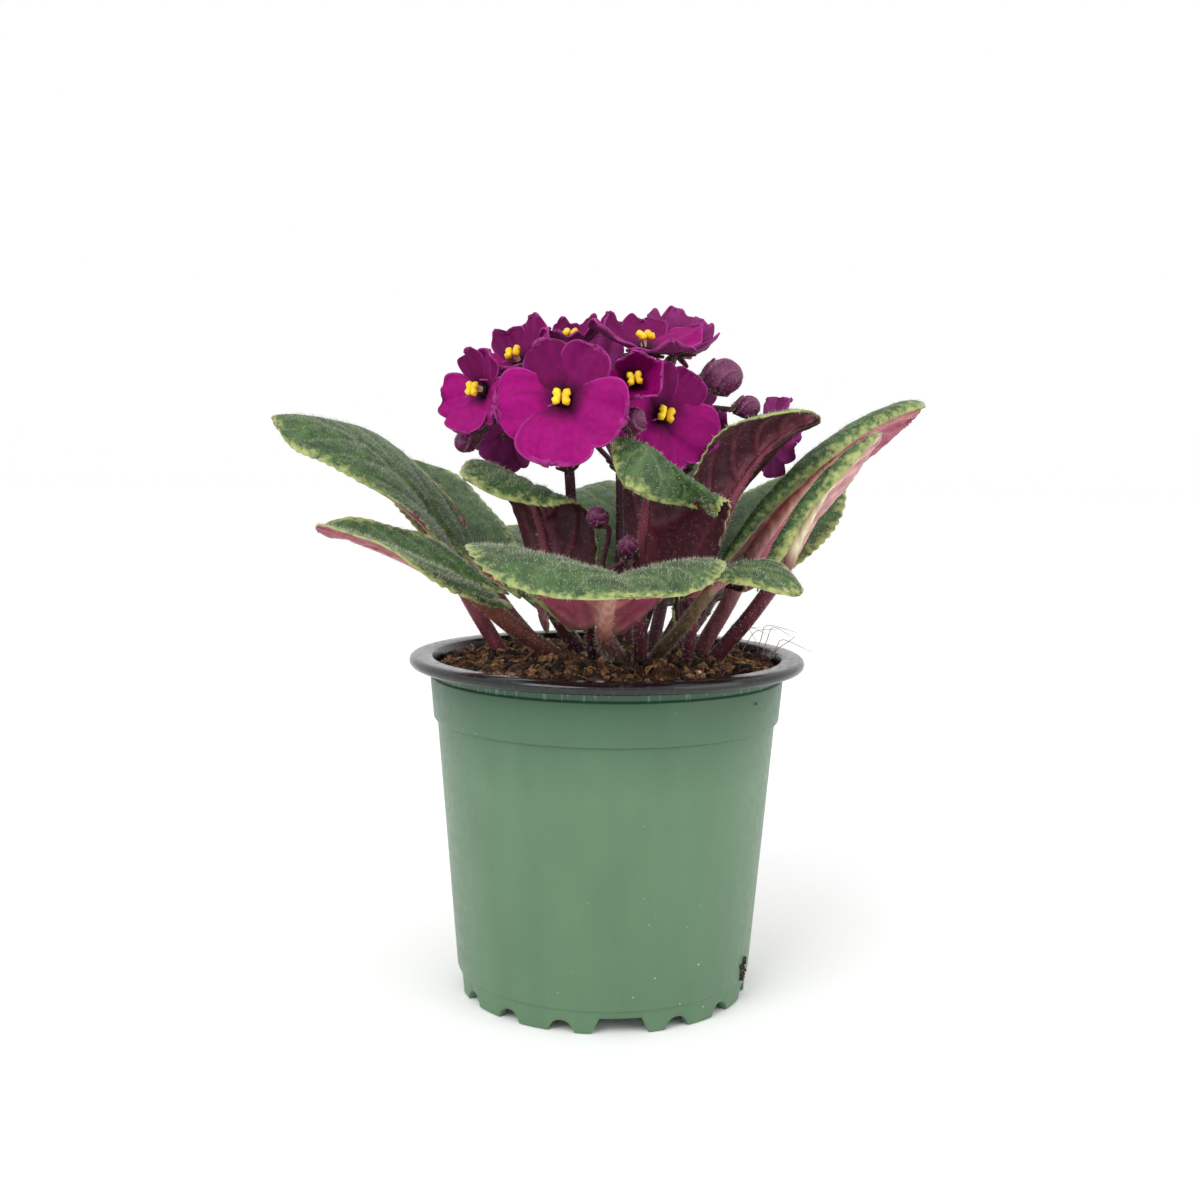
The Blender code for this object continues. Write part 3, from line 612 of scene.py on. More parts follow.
def scattered(count, sizes, flatness=0.0):
    """Random turns, scaled to random sizes between the two given, and random places on the soil."""
    turns = np.empty((count, 3, 3))
    places = np.empty((count, 3))
    for i in range(count):
        reach = math.sqrt(random.random()) * (SOIL_RADIUS - 1.0)
        angle = random.random() * 2 * math.pi
        x, y = reach * math.cos(angle), reach * math.sin(angle)
        size = sizes[0] + (sizes[1] - sizes[0]) * random.random() ** 2.5
        axis = Vector(random.normal(size=3))
        axis.z *= 1 - flatness
        turns[i] = np.array(axis.to_track_quat("Z", "Y").to_matrix()) * size
        places[i] = (x, y, soil_height(x, y) + 0.12 * size)
    return turns, places


def tinted_material(name, spread="#8A8A8A", roughness=0.9):
    """A matt natural surface whose colour comes from each copy's own tint, mottled by fine noise."""
    made, tree, shader = new_material(name, {"Roughness": roughness})
    own = add_node(tree, "Attribute", attribute_name="tint").outputs["Color"]
    mottled = paint(tree, own, spread, grain(tree, 0.6, 3), 0.35, 0.65, kind="MULTIPLY")
    tree.links.new(mottled, shader.inputs["Base Color"])
    roughen(tree, shader, 0.4, 3, 0.15)
    return made


def strew(name, shapes, count, sizes, tints, finish, flatness=0.0):
    for index, shape in enumerate(shapes):
        turns, places = scattered(count, sizes, flatness)
        chosen = np.array(tints)[random.integers(len(tints), size=count)]
        stamp(f"{name}_{index + 1}", shape, turns, places, chosen, finish)


CRUMBS, CRUMB_SIZES = 620, (0.3, 1.7)  # of each shape; the smallest and the largest, in mm
FIBRES, FIBRE_SIZES = 330, (1.2, 4.2)
PERLITES, PERLITE_SIZES = 22, (0.5, 1.1)
crumb_finish = tinted_material("loose peat crumb")
crumb_shapes = [lump(1, 0.8), lump(5, 0.9), lump(9, 0.7)]
strew("peat_crumbs", crumb_shapes, CRUMBS, CRUMB_SIZES, CRUMB_TINTS, crumb_finish)
fibre_finish = tinted_material("bark fibre", "#B0A090", 0.8)
strew("bark_fibres", [bent_rod(1), bent_rod(4)], FIBRES, FIBRE_SIZES, FIBRE_TINTS, fibre_finish, 0.8)
perlite_finish = tinted_material("expanded perlite", "#D8D4CC")
strew("perlite", [lump(3, 0.4)], PERLITES, PERLITE_SIZES, PERLITE_TINTS, perlite_finish)
print("peat crumbs, fibres and perlite strewn")

# %% [markdown]
# ## The shape of a leaf
#
# An african violet's leaf is a thick, rounded blade with two small lobes beside its stalk. Each blade
# here is a grid whose points are placed by a rule: how far along the midrib, and how far across. The
# midrib is a smooth curve through three points, and each half has its own slopes beside the midrib
# and at the edge, so a half can lie flat, stand up or roll over. These numbers are the design's own,
# in millimetres, and each blade is checked against the frame's box afterwards.

# %% The leaves' own numbers
ROSE = ("#962F4C", "#C48688")  # a pink underside and its paler veins
BLUSH = ("#A23C60", "#CC9484")
WINE = ("#43101F", "#8A3A50")
# the wine underside darkened as painted shade, for the low leaf tucked under the others
SHADED_WINE = ("#2C0C17", "#5E2636")

# Each leaf: where its stalk leaves the peat; the start, middle and tip of its blade; the way its upper
# side faces at the stalk and at the tip; the width of its left and right half; the stalk's radius; each
# half's slopes in degrees, beside the midrib and at the edge, first at the stalk's end and then at the
# tip; the colours of its underside; and the stalk's colour at the peat and at the blade.
# a stalk is darker at the peat than at the blade: partly its own colour, partly painted shade under the
# leaves
LEAVES = {
    "leaf_01": dict(foot=(-30, 10), start=(-44.5, 10, 122), middle=(-68, 6, 149), tip=(-92, 2, 156),
                    face=((0.45, -0.5, 0.7), (0.35, -0.5, 0.8)), reach=(18.5, 18.5), stalk=2.1,
                    left=(35, 20, -10, -45), right=(0, -20, -35, -55),
                    under=ROSE, skin=("#6E2A38", "#9A4A5A")),
    "leaf_02": dict(foot=(-14, -5), start=(-33.5, -14, 112), middle=(-54, -18, 121), tip=(-76, -16, 126),
                    face=((0.35, -0.25, 0.9), (0.2, 0.1, 0.95)), reach=(18, 13), stalk=2.3,
                    left=(5, -20, 18, 8), right=(5, -10, 40, 35),
                    under=ROSE, skin=("#38151B", "#8E5444")),
    "leaf_03": dict(foot=(-8, 3), start=(-15, -2, 107), middle=(-21, -3, 137), tip=(-36, -22, 140),
                    face=((0.3, 0.9, 0.3), (0.1, -0.3, 0.95)), reach=(19, 15), stalk=2.0,
                    left=(5, -30, -20, -60), right=(40, 50, 0, -30),
                    under=WINE, skin=("#2A1018", "#5A2634")),
    "leaf_04": dict(foot=(3, -11), start=(-1, -30, 104), middle=(2, -54, 118), tip=(6, -78, 116),
                    face=((0.0, 0.3, 0.95), (0.0, 0.0, 1.0)), reach=(27, 37), stalk=2.4,
                    left=(36, 15, 2, -30), right=(36, 8, 2, -35),
                    under=BLUSH, skin=("#2C1016", "#74403A")),
    "leaf_05": dict(foot=(13, -4), start=(24, -26, 114), middle=(35, -33, 119), tip=(46, -43, 113.5),
                    face=((0.1, -0.2, 0.95), (0.3, -0.2, 0.93)), reach=(13, 13), stalk=1.8,
                    left=(10, -10, 5, -20), right=(5, -30, 0, -40),
                    under=ROSE, skin=("#3A1C1C", "#8E7C58")),
    "leaf_06": dict(foot=(9, -12), start=(9, -15, 119), middle=(11, -24, 148), tip=(5, -39, 139),
                    face=((0.35, 0.9, 0.1), (0.2, -0.3, 1.0)), reach=(26, 11), stalk=1.8,
                    left=(0, -10, -40, -65), right=(30, 30, -20, -40),
                    under=WINE, skin=("#32121B", "#6E3340")),
    "leaf_07": dict(foot=(15, 5), start=(28.5, -2, 126), middle=(39.5, -4, 147), tip=(54, -12, 158),
                    face=((-0.3, 0.9, 0.3), (-0.3, 0.7, 0.6)), reach=(17.5, 17.5), stalk=1.9,
                    left=(60, 70, 30, 10), right=(0, -30, 0, -60),
                    under=WINE, skin=("#32121B", "#73303F")),
    "leaf_08": dict(foot=(26, 12), start=(38.5, 12, 121), middle=(63, 21, 147), tip=(91, 36, 161),
                    face=((-0.45, 0.6, 0.6), (-0.45, 0.5, 0.7)), reach=(18, 18), stalk=2.2,
                    left=(0, 10, 0, 0), right=(8, -135, 8, -135),
                    under=BLUSH, skin=("#6A2C38", "#A0686A")),
    "leaf_09": dict(foot=(29.5, 0), start=(45.2, -6, 118.5), middle=(56, -9, 138), tip=(70.5, -14, 153.5),
                    face=((-0.6, 0.45, 0.6), (-0.6, 0.4, 0.65)), reach=(13, 13), stalk=2.1,
                    left=(0, 0, 0, 0), right=(8, -135, 8, -135),
                    under=("#C98A94", "#E4DDB4"), skin=("#3E1420", "#7A3444")),
    "leaf_10": dict(foot=(22, -4), start=(22, -5, 103), middle=(27, -6, 114), tip=(37, -10, 112),
                    face=((-0.3, 0.7, 0.6), (0.1, 0.5, 0.9)), reach=(8, 8), stalk=1.5,
                    left=(0, 0, 0, 0), right=(0, -10, 0, -10),
                    under=SHADED_WINE, skin=("#3E1822", "#7A3F4C")),
    "leaf_11": dict(foot=(20, 20), start=(32, 28, 112), middle=(50, 43, 128), tip=(66, 60, 143),
                    face=((-0.3, -0.45, 0.85), (-0.2, -0.4, 0.9)), reach=(19, 19), stalk=2.1,
                    left=(10, 0, 5, -10), right=(-5, -25, -5, -30),
                    under=ROSE, skin=("#3E1A22", "#7A4048")),
    "leaf_12": dict(foot=(16, 28), start=(25, 40, 104), middle=(37, 57, 112), tip=(45, 78, 116),
                    face=((-0.2, -0.3, 0.9), (-0.1, -0.1, 1.0)), reach=(19, 19), stalk=2.1,
                    left=(12, 0, 5, -15), right=(12, 0, 5, -15),
                    under=ROSE, skin=("#3E1A22", "#804450")),
    "leaf_13": dict(foot=(6, 22), start=(5, 32, 108), middle=(4, 50, 129), tip=(2, 74, 138),
                    face=((0.0, -0.5, 0.85), (0.0, -0.3, 0.95)), reach=(20, 20), stalk=2.1,
                    left=(8, -10, 5, -30), right=(8, -10, 5, -30),
                    under=ROSE, skin=("#3E1A22", "#804450")),
    "leaf_14": dict(foot=(-9, 23), start=(-17, 34, 106), middle=(-25, 53, 118), tip=(-33, 76, 123),
                    face=((0.2, -0.4, 0.9), (0.1, -0.2, 0.95)), reach=(19, 19), stalk=2.1,
                    left=(10, 0, 5, -20), right=(10, 0, 5, -20),
                    under=BLUSH, skin=("#3E1A22", "#8A4C54")),
    "leaf_15": dict(foot=(-20, 18), start=(-34, 24, 112), middle=(-50, 38, 132), tip=(-66, 50, 145),
                    face=((0.4, -0.4, 0.8), (0.3, -0.3, 0.9)), reach=(17, 17), stalk=2.1,
                    left=(5, -15, 5, -30), right=(10, 0, 5, -20),
                    under=ROSE, skin=("#3E1A22", "#804450")),
    "leaf_16": dict(foot=(13, 16), start=(16, 24, 114), middle=(23, 34, 132), tip=(31, 47, 145),
                    face=((-0.3, -0.5, 0.8), (-0.2, -0.4, 0.9)), reach=(15, 15), stalk=1.8,
                    left=(10, 0, 5, -15), right=(10, 0, 5, -15),
                    under=WINE, skin=("#42202A", "#7A3F4C")),
}

# %% [markdown]
# ## The rule for a blade
#
# A leaf could be sculpted by hand, but a rule can be read and changed. It gives the midrib's curve, the
# outline with its lobes and teeth, how far each half bends, and how far away the next side vein is.

# %% The rule that places a point of a blade
LOBE = 0.20  # how far the two lobes beside the stalk reach back, as a part of the blade's length
SECTION_STEPS = 8
EDGE_BEND = 2.5  # the higher this is, the nearer its edge a blade bends
TEETH = 17  # rounded teeth along each edge
TOOTH_DEPTH = 0.03  # of the half width
SIDE_VEINS = 5  # on each side of the midrib
VEIN_LEAN = 0.42  # how far a side vein runs towards the tip, as a part of the blade's length


def along(points, fraction):
    """The point a fraction of the way along the curve through start, middle and tip."""
    start, middle, tip = points
    bend = 2 * middle - (start + tip) / 2
    rest = 1 - fraction
    return rest * rest * start + 2 * rest * fraction * bend + fraction * fraction * tip


def direction(points, fraction):
    start, middle, tip = points
    bend = 2 * middle - (start + tip) / 2
    return ((1 - fraction) * (bend - start) + fraction * (tip - bend)).normalized()


def blade_outline(fraction):
    """Half the blade's width, as a part of its widest, from the stalk (0) to the rounded tip (1)."""
    widest = 0.42
    if fraction < widest:
        corner = 1 - 0.3 * math.exp(-fraction / 0.035)
        return (1 - 0.32 * ((widest - fraction) / widest) ** 2) * corner
    return math.sqrt(max(0.0004, 1 - ((fraction - widest) / (1 - widest)) ** 2.2))


def half_section(slopes, reach):
    """Sideways and upward distance across one half of the blade, which bends most near its edge."""
    first, last = (math.radians(slope) for slope in slopes)
    sideways = upward = 0.0
    for step in range(SECTION_STEPS):
        part = reach * (step + 0.5) / SECTION_STEPS
        slope = first + (last - first) * part**EDGE_BEND
        sideways += math.cos(slope) * reach / SECTION_STEPS
        upward += math.sin(slope) * reach / SECTION_STEPS
    return sideways, upward


def blade_frame(leaf, fraction):
    """Midrib point, and the directions along, to the right and up from the blade there."""
    points = [Vector(leaf[key]) for key in ("start", "middle", "tip")]
    inside = min(max(fraction, 0.0), 1.0)
    ahead = direction(points, inside)
    place = along(points, inside)
    if fraction < 0:
        place = place + ahead * (points[2] - points[0]).length * fraction
    base, end = (Vector(face) for face in leaf["face"])
    up = base.lerp(end, inside)
    up = (up - up.dot(ahead) * ahead).normalized()
    return place, ahead, ahead.cross(up), up


def blade_point(leaf, fraction, across):
    """A point of the blade: across runs from -1 at the left edge to 1 at the right edge."""
    reach = abs(across)
    back = LOBE * (1 - fraction) ** 3 * math.sin(math.pi * reach**1.2)
    place, _, right, up = blade_frame(leaf, fraction - back)
    tooth = 1 - TOOTH_DEPTH * reach**8 * (0.5 - 0.5 * math.cos(2 * math.pi * TEETH * fraction))
    half = leaf["reach"][across > 0] * blade_outline(fraction) * tooth
    slopes = leaf["right"] if across > 0 else leaf["left"]
    slopes = [slopes[i] + (slopes[i + 2] - slopes[i]) * fraction for i in (0, 1)]
    side, rise = half_section(slopes, reach)
    return place + right * math.copysign(half * side, across) + up * half * rise


def vein_gap(length, fraction, reach):
    """Distance in mm from a point of the blade to its nearest side vein, measured along the midrib."""
    phase = (fraction - VEIN_LEAN * reach**1.25) * SIDE_VEINS + 0.4
    return abs(phase - round(phase)) * length / SIDE_VEINS


print(len(LEAVES), "leaves to grow")

# %% [markdown]
# ## The leaf's surface
#
# From above, the midrib and the side veins are sunk and the blade swells between them; from below they
# stand out. Lifting and lowering the sheet along its normals does both at once. The underside is the
# same sheet moved down by the blade's thickness, which is least at the edge and most under the veins,
# and a wall of faces joins the two. The stalk runs on under the blade as its tapering midrib.

# %% Build a blade and its stalk
CELLS_ALONG = 92
CELLS_ACROSS = 60
EDGE_THICKNESS = 0.4
BLADE_THICKNESS = 0.85
EDGE_TAPER = 2.5  # mm; a blade thins over this distance towards its edge
STALK_DEPTH = 5.0  # how far a leaf stalk reaches below the peat's surface
RIB_REACH = 0.8  # how far along the blade its midrib stands out underneath
PILLOW_SWELL, MIDRIB_SINK, VEIN_SINK = 0.5, 0.8, 0.3  # mm
EDGE_WAVE, PUCKER_HEIGHT, PUCKER_WIDTH = 0.7, 0.22, 2.6  # mm
MARGIN_WIDTH = 6.0  # mm; the margin value runs from 1 at the edge to 0 this far inside it
UPPER, UNDER, SKIN = 0, 1, 2  # the leaf's three materials


def flat_soil_height(radius):
    """Height of the peat's mound where a stalk leaves it, without the clumps."""
    return SOIL_EDGE + SOIL_MOUND * math.cos(radius / COLLAR_TOP_RADIUS * math.pi / 2)


def blade_relief(leaf, seed, length, fraction, across):
    """How far the upper side is lifted there, in mm, and how near the point is to a vein, 0 to 1."""
    reach = abs(across)
    half = leaf["reach"][across > 0] * blade_outline(fraction)
    to_midrib = reach * half
    gap = vein_gap(length, fraction, reach)
    midrib = math.exp(-(to_midrib / 1.3) ** 2) * (1 - 0.6 * fraction)
    side = math.exp(-(gap / 0.65) ** 2) * min(1, to_midrib / 1.5) * (1 - reach**4)
    pillow = math.sin(math.pi * min(1.0, gap * SIDE_VEINS / length)) ** 0.7
    wave = math.sin(fraction * 11 + seed * 2.1 + (2 if across > 0 else 0)) * reach**3
    spot = Vector((fraction * length / PUCKER_WIDTH, to_midrib / PUCKER_WIDTH, seed * 3.7))
    lift = PILLOW_SWELL * pillow * (1 - reach**3) - MIDRIB_SINK * midrib - VEIN_SINK * side
    return lift + EDGE_WAVE * wave + PUCKER_HEIGHT * noise.noise(spot), max(midrib, side)


def edge_gap(leaf, length, fraction, across):
    """Distance in mm from a point of the blade to its edge."""
    reach = abs(across)
    half = leaf["reach"][across > 0] * blade_outline(fraction)
    return min((1 - reach) * half, (1 - fraction) * length, fraction * length + 30 * max(0.0, 0.12 - reach))


def underside_tint(leaf, length, fraction, across, vein):
    """The underside's colour: its own, paler on the veins and cream round the top of the stalk."""
    lamina, pale = (linear(colour) for colour in leaf["under"])
    half = leaf["reach"][across > 0] * blade_outline(fraction)
    near = math.exp(-((abs(across) * half / 2.6) ** 2)) * (1 - 0.5 * fraction)
    base = 0.5 * math.exp(-fraction * length / 7) * (1 - abs(across))
    return mix(mix(lamina, pale, 0.45 * vein), pale, 0.85 * near + base)


def lay_out_blade(bm, leaf, seed):
    """Puts the grid's points in place; returns each one's thickness, lift and underside tint."""
    margin = bm.verts.layers.float["margin"]
    vein_layer = bm.verts.layers.float["vein"]
    start, middle, tip = (Vector(leaf[key]) for key in ("start", "middle", "tip"))
    length = (middle - start).length + (tip - middle).length
    depths, lifts, undersides = [], [], []
    for vert in bm.verts:
        fraction = 1 - (0.5 - vert.co.x) ** 1.5
        across = vert.co.y * -2
        lift, vert[vein_layer] = blade_relief(leaf, seed, length, fraction, across)
        gap = edge_gap(leaf, length, fraction, across)
        vert[margin] = max(0.0, 1 - gap / MARGIN_WIDTH)
        body = BLADE_THICKNESS * (1 + 0.5 * vert[vein_layer])
        depths.append(EDGE_THICKNESS + (body - EDGE_THICKNESS) * min(1.0, gap / EDGE_TAPER))
        undersides.append(underside_tint(leaf, length, fraction, across, vert[vein_layer]))
        lifts.append(lift)
        vert.co = blade_point(leaf, fraction, across)
    return depths, lifts, undersides


def add_blade(bm, leaf, seed):
    """The closed blade, in the bmesh: laid out, lifted by its relief and given its underside."""
    tint = bm.verts.layers.float_color["tint"]
    order = bm.verts.layers.int.new("order")
    bmesh.ops.create_grid(bm, x_segments=CELLS_ALONG, y_segments=CELLS_ACROSS, size=0.5)
    for index, vert in enumerate(bm.verts):
        vert[order] = index
    depths, lifts, undersides = lay_out_blade(bm, leaf, seed)
    bm.normal_update()
    for vert in bm.verts:
        vert.co += vert.normal * lifts[vert[order]]
    bm.normal_update()
    down = [-vert.normal for vert in bm.verts]
    grown = bmesh.ops.extrude_face_region(bm, geom=bm.faces[:], use_keep_orig=True)["geom"]
    for item in grown:
        if isinstance(item, bmesh.types.BMVert):
            item.co += down[item[order]] * depths[item[order]]
            item[tint] = undersides[item[order]]
        elif isinstance(item, bmesh.types.BMFace):
            item.material_index = UNDER
    bmesh.ops.recalc_face_normals(bm, faces=bm.faces)


def leaf_stalk_path(leaf):
    """The stalk from below the peat to the blade, then under the blade as its midrib, and its radii."""
    x, y = leaf["foot"]
    surface = flat_soil_height(math.hypot(x, y))
    lean = (Vector(leaf["start"]) - Vector((x, y, surface))) * 0.3
    below = Vector((x, y, surface - STALK_DEPTH)) - Vector((lean.x, lean.y, 0)) * 0.25
    foot = Vector((x, y, surface))
    rib = []
    for fraction in (0.0, 0.12, 0.25, 0.45, 0.62, RIB_REACH):
        place, _, _, up = blade_frame(leaf, fraction)
        thick = leaf["stalk"] * (0.95 - 0.9 * fraction / RIB_REACH)
        rib.append((place - up * (thick + 0.9), thick))
    bow = foot.lerp(rib[0][0], 0.5) + Vector((lean.x, lean.y, 0)) * 0.15
    path = smooth_path([below, foot, bow, *(place for place, _ in rib)], 5)
    stalk_rings = len(path) - 5 * len(rib) + 4
    radii = [leaf["stalk"] * (1.08 - 0.1 * i / stalk_rings) for i in range(stalk_rings)]
    thin = [thick for _, thick in rib]
    rest = len(path) - stalk_rings
    steps = np.arange(1, rest + 1) / rest * (len(thin) - 1)
    radii += [float(thick) for thick in np.interp(steps, range(len(thin)), thin)]
    return path, radii, stalk_rings


def add_leaf_stalk(bm, leaf):
    path, radii, stalk_rings = leaf_stalk_path(leaf)
    low, high = (linear(colour) for colour in leaf["skin"])
    pale = linear(leaf["under"][1])
    tints = []
    for i in range(len(path)):
        # darker towards the peat: partly the stalk's own colour, partly painted shade under the leaves
        climb = i / stalk_rings
        tints.append(mix(low, high, climb**1.3) if climb < 1 else mix(high, pale, 2.5 * (climb - 1)))
    add_tube(bm, path, radii, 16, tints, SKIN)


print("blade and stalk rules ready")

# %% [markdown]
# ## Leaf, underside and stalk finishes
#
# The upper side is a mottled green that fades to cream-green at the edge, in ragged patches. Its fine
# hairs scatter light back like velvet, which is what sheen is for. The underside is pink to wine red and
# less hairy, and the stalks are fleshy and streaked along, with a soft gloss.

# %% The leaf's materials
def leaf_upper():
    """Living leaf: waxy green cells under a velvet of hairs, cream-green and bumpy at the edge."""
    made, tree, shader = new_material("hairy green leaf", {
        "Roughness": 0.55, "Sheen Weight": 0.2, "Sheen Roughness": 0.4, "Sheen Tint": linear("#DCE8D0")})
    green = paint(tree, linear("#203D18"), "#466A2E", grain(tree, 2.2, 4), 0.35, 0.68)
    green = paint(tree, green, "#152C11", grain(tree, 9, 2), 0.4, 0.7, 0.5)
    vein = add_node(tree, "Attribute", attribute_name="vein").outputs["Fac"]
    green = paint(tree, green, "#7E9460", vein, most=0.35)
    ragged = uneven(tree, 2.0, 4, 0.3, 0.7, -0.38, 0.3)
    margin = add_node(tree, "Attribute", attribute_name="margin").outputs["Fac"]
    edge = add_node(tree, "Math", {0: margin, 1: ragged}, operation="ADD").outputs[0]
    green = paint(tree, green, "#A9B168", edge, 0.5, 1.0, 0.85)
    tree.links.new(green, shader.inputs["Base Color"])
    roughen(tree, shader, 0.9, 4, 0.35, 0.8)
    return made


def leaf_underside():
    """The leaf's underside: its tint, blotched and speckled, with a green thread along the edge."""
    made, tree, shader = new_material("wine-red leaf underside", {
        "Roughness": 0.5, "Sheen Weight": 0.1, "Sheen Roughness": 0.4, "Sheen Tint": linear("#D8A8B0")})
    own = add_node(tree, "Attribute", attribute_name="tint").outputs["Color"]
    colour = paint(tree, own, "#5A1C30", grain(tree, 3, 4), 0.35, 0.7, 0.45, "MULTIPLY")
    colour = paint(tree, colour, "#B87884", grain(tree, 0.8, 2), 0.6, 0.72, 0.35)
    margin = add_node(tree, "Attribute", attribute_name="margin").outputs["Fac"]
    colour = paint(tree, colour, "#8C9A58", margin, 0.9, 1.0, 0.7)
    tree.links.new(colour, shader.inputs["Base Color"])
    roughen(tree, shader, 0.9, 3, 0.2, 0.8)
    return made


def stalk_skin():
    """Fleshy stem skin: its tint, with darker streaks and fine speckles, and a soft gloss."""
    made, tree, shader = new_material("fleshy purple stem skin", {
        "Roughness": 0.42, "Specular IOR Level": 0.3, "Sheen Weight": 0.06})
    own = add_node(tree, "Attribute", attribute_name="tint").outputs["Color"]
    streak = grain(tree, 1.8, 4, (1, 1, 0.2))
    colour = paint(tree, own, "#6A3038", streak, 0.38, 0.7, 0.55, "MULTIPLY")
    colour = paint(tree, colour, "#A86870", grain(tree, 0.7, 2), 0.62, 0.72, 0.3)
    tree.links.new(colour, shader.inputs["Base Color"])
    roughen(tree, shader, 1.0, 3, 0.12, 0.8)
    return made


upper_finish, under_finish, skin_finish = leaf_upper(), leaf_underside(), stalk_skin()
print("leaf materials ready")

# %% [markdown]
# ## Plant hairs
#
# African violets are covered in short silvery hairs, which soften every outline. A hair here is a cone
# with three sides. Places are drawn at random over a piece's triangles, in proportion to their area,
# and each hair stands on the surface with a small random lean.

# %% Hairs
def hair_material():
    """Plant hair: a clear, silvery thread of empty cells."""
    made, _, _ = new_material("silvery plant hair", {"Base Color": linear("#BDBBA8"), "Roughness": 0.45})
    return made


HAIR = hair_material()
HAIR_THICKNESS = 0.05  # mm, the radius at the foot; a real hair is thinner than the render can show


def surface_places(mesh, count, keep=None):
    """Random points on the mesh, in mm, and the normals there; keep lists the materials to cover."""
    mesh.calc_loop_triangles()
    corners = np.empty(len(mesh.loop_triangles) * 3, int)
    mesh.loop_triangles.foreach_get("vertices", corners)
    if keep is not None:
        finishes = np.empty(len(mesh.loop_triangles), int)
        mesh.loop_triangles.foreach_get("material_index", finishes)
        corners = corners.reshape(-1, 3)[np.isin(finishes, keep)].ravel()
    verts = np.empty(len(mesh.vertices) * 3, np.float32)
    mesh.vertices.foreach_get("co", verts)
    a, b, c = np.moveaxis(verts.reshape(-1, 3)[corners.reshape(-1, 3)] / MM, 1, 0)
    cross = np.cross(b - a, c - a)
    area = np.linalg.norm(cross, axis=1)
    chosen = random.choice(len(area), size=count, p=area / area.sum())
    u, v = random.random((2, count, 1))
    flip = u + v > 1
    u, v = np.where(flip, 1 - u, u), np.where(flip, 1 - v, v)
    points = a[chosen] + u * (b - a)[chosen] + v * (c - a)[chosen]
    return points, cross[chosen] / area[chosen][:, None]


def grow_hairs(name, piece, per_mm2, length, lean=0.35, keep=None):
    """A coat of hairs on a piece, with a number of them per square millimetre and a length in mm."""
    area = sum(face.area for face in piece.data.polygons) / MM**2
    count = int(area * per_mm2)
    points, normals = surface_places(piece.data, count, keep)
    grow = normals + random.normal(scale=lean, size=normals.shape)
    grow /= np.linalg.norm(grow, axis=1)[:, None]
    aside = np.cross(grow, random.normal(size=grow.shape))
    aside /= np.linalg.norm(aside, axis=1)[:, None]
    other = np.cross(grow, aside)
    tall = length * (0.5 + random.random((count, 1)))
    frames = np.stack([aside * HAIR_THICKNESS, other * HAIR_THICKNESS, grow * tall], axis=2)
    cone = bmesh.new()
    bmesh.ops.create_cone(cone, cap_ends=True, segments=3, radius1=1, radius2=0, depth=1,
                          matrix=Matrix.Translation((0, 0, 0.45)))
    stamp(name, cone, frames, points, np.ones((count, 4)), HAIR)
    return count


print("hair rules ready")

# %% [markdown]
# ## Growing the leaves
#
# Every leaf is now grown from its own numbers, with its coat of hairs. The upper side and the stalk get
# hairs and the underside stays bare. A leaf that strayed far from its plain solid would no longer match
# the frame, so each one's distance past its box is printed.

# %% Grow the leaves
LEAF_HAIRS, LEAF_HAIR_LENGTH = 0.55, 0.9  # per square millimetre, and mm


def past_its_box(name, piece):
    """How far a piece stands past the frame's box of its plain solid, in mm."""
    low, high = (Vector(corner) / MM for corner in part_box(name))
    corners = [Vector(corner) / MM for corner in piece.bound_box]
    return max(max(low[i] - min(c[i] for c in corners), max(c[i] for c in corners) - high[i])
               for i in range(3))


def make_leaf(name, leaf, seed):
    bm = new_bmesh()
    add_blade(bm, leaf, seed)
    add_leaf_stalk(bm, leaf)
    return new_piece("violet_" + name, bm, [upper_finish, under_finish, skin_finish], [name])


for seed, (name, leaf) in enumerate(LEAVES.items()):
    piece = make_leaf(name, leaf, seed)
    hairs = grow_hairs(name + "_hairs", piece, LEAF_HAIRS, LEAF_HAIR_LENGTH, keep=[UPPER, SKIN])
    past = round(past_its_box(name, piece), 1)
    print(name, "has", hairs, "hairs and stands", past, "mm past its plain solid")

# %% [markdown]
# ## The shape of a flower
#
# The flower is one corolla with five lobes: two small upper ones, two broad side ones and a broad lower
# one, which overlap where they meet. Each lobe is a grid that widens from the throat to a round end. It
# cups forward or bends back, its rim is slightly ruffled, and the small lobes lie behind the large
# ones. Like a leaf, each sheet is closed by an underside, so it has a real thickness.

# %% The flowers' own numbers
# Each flower: the middle of its throat, the way it faces, its radius, how far its petals cup forward
# (a part of the radius) and how far it is turned about its own axis, in degrees.
FLOWERS = {
    "01": dict(place=(-12, -29, 161), facing=(-0.12, -0.97, 0.12), radius=17.0, cup=0.12, turn=-3),
    "02": dict(place=(-35, -10, 163.5), facing=(-0.7, -0.68, 0.1), radius=12.0, cup=0.2, turn=-5),
    "03": dict(place=(6, -23, 166), facing=(0.05, -0.97, 0.15), radius=8.5, cup=0.75, turn=10),
    "04": dict(place=(14, -13, 157.5), facing=(0.35, -0.92, 0.08), radius=15.5, cup=0.12, turn=-14),
    "05": dict(place=(-25.5, -1, 172.5), facing=(-0.45, -0.55, 0.7), radius=13.5, cup=0.35, turn=25),
    "06": dict(place=(-11, 6, 178), facing=(-0.1, -0.35, 0.9), radius=10.5, cup=0.4, turn=0),
    "07": dict(place=(9, -1, 177), facing=(0.1, -0.34, 0.93), radius=16.0, cup=0.3, turn=12),
    "08": dict(place=(19, 20, 178), facing=(0.2, 0.45, 0.8), radius=12.0, cup=0.5, turn=40),
    "09": dict(place=(47, 23, 153), facing=(0.75, 0.3, -0.15), radius=12.5, cup=0.1, turn=0),
    "10": dict(place=(-29, 12, 153), facing=(-0.6, 0.6, -0.2), radius=12.0, cup=0.1, turn=20),
    "11": dict(place=(-4, 31, 168), facing=(-0.1, 0.95, 0.3), radius=15.0, cup=0.12, turn=-10),
    "12": dict(place=(22, 34, 158), facing=(0.4, 0.9, 0.1), radius=13.5, cup=0.15, turn=15),
}
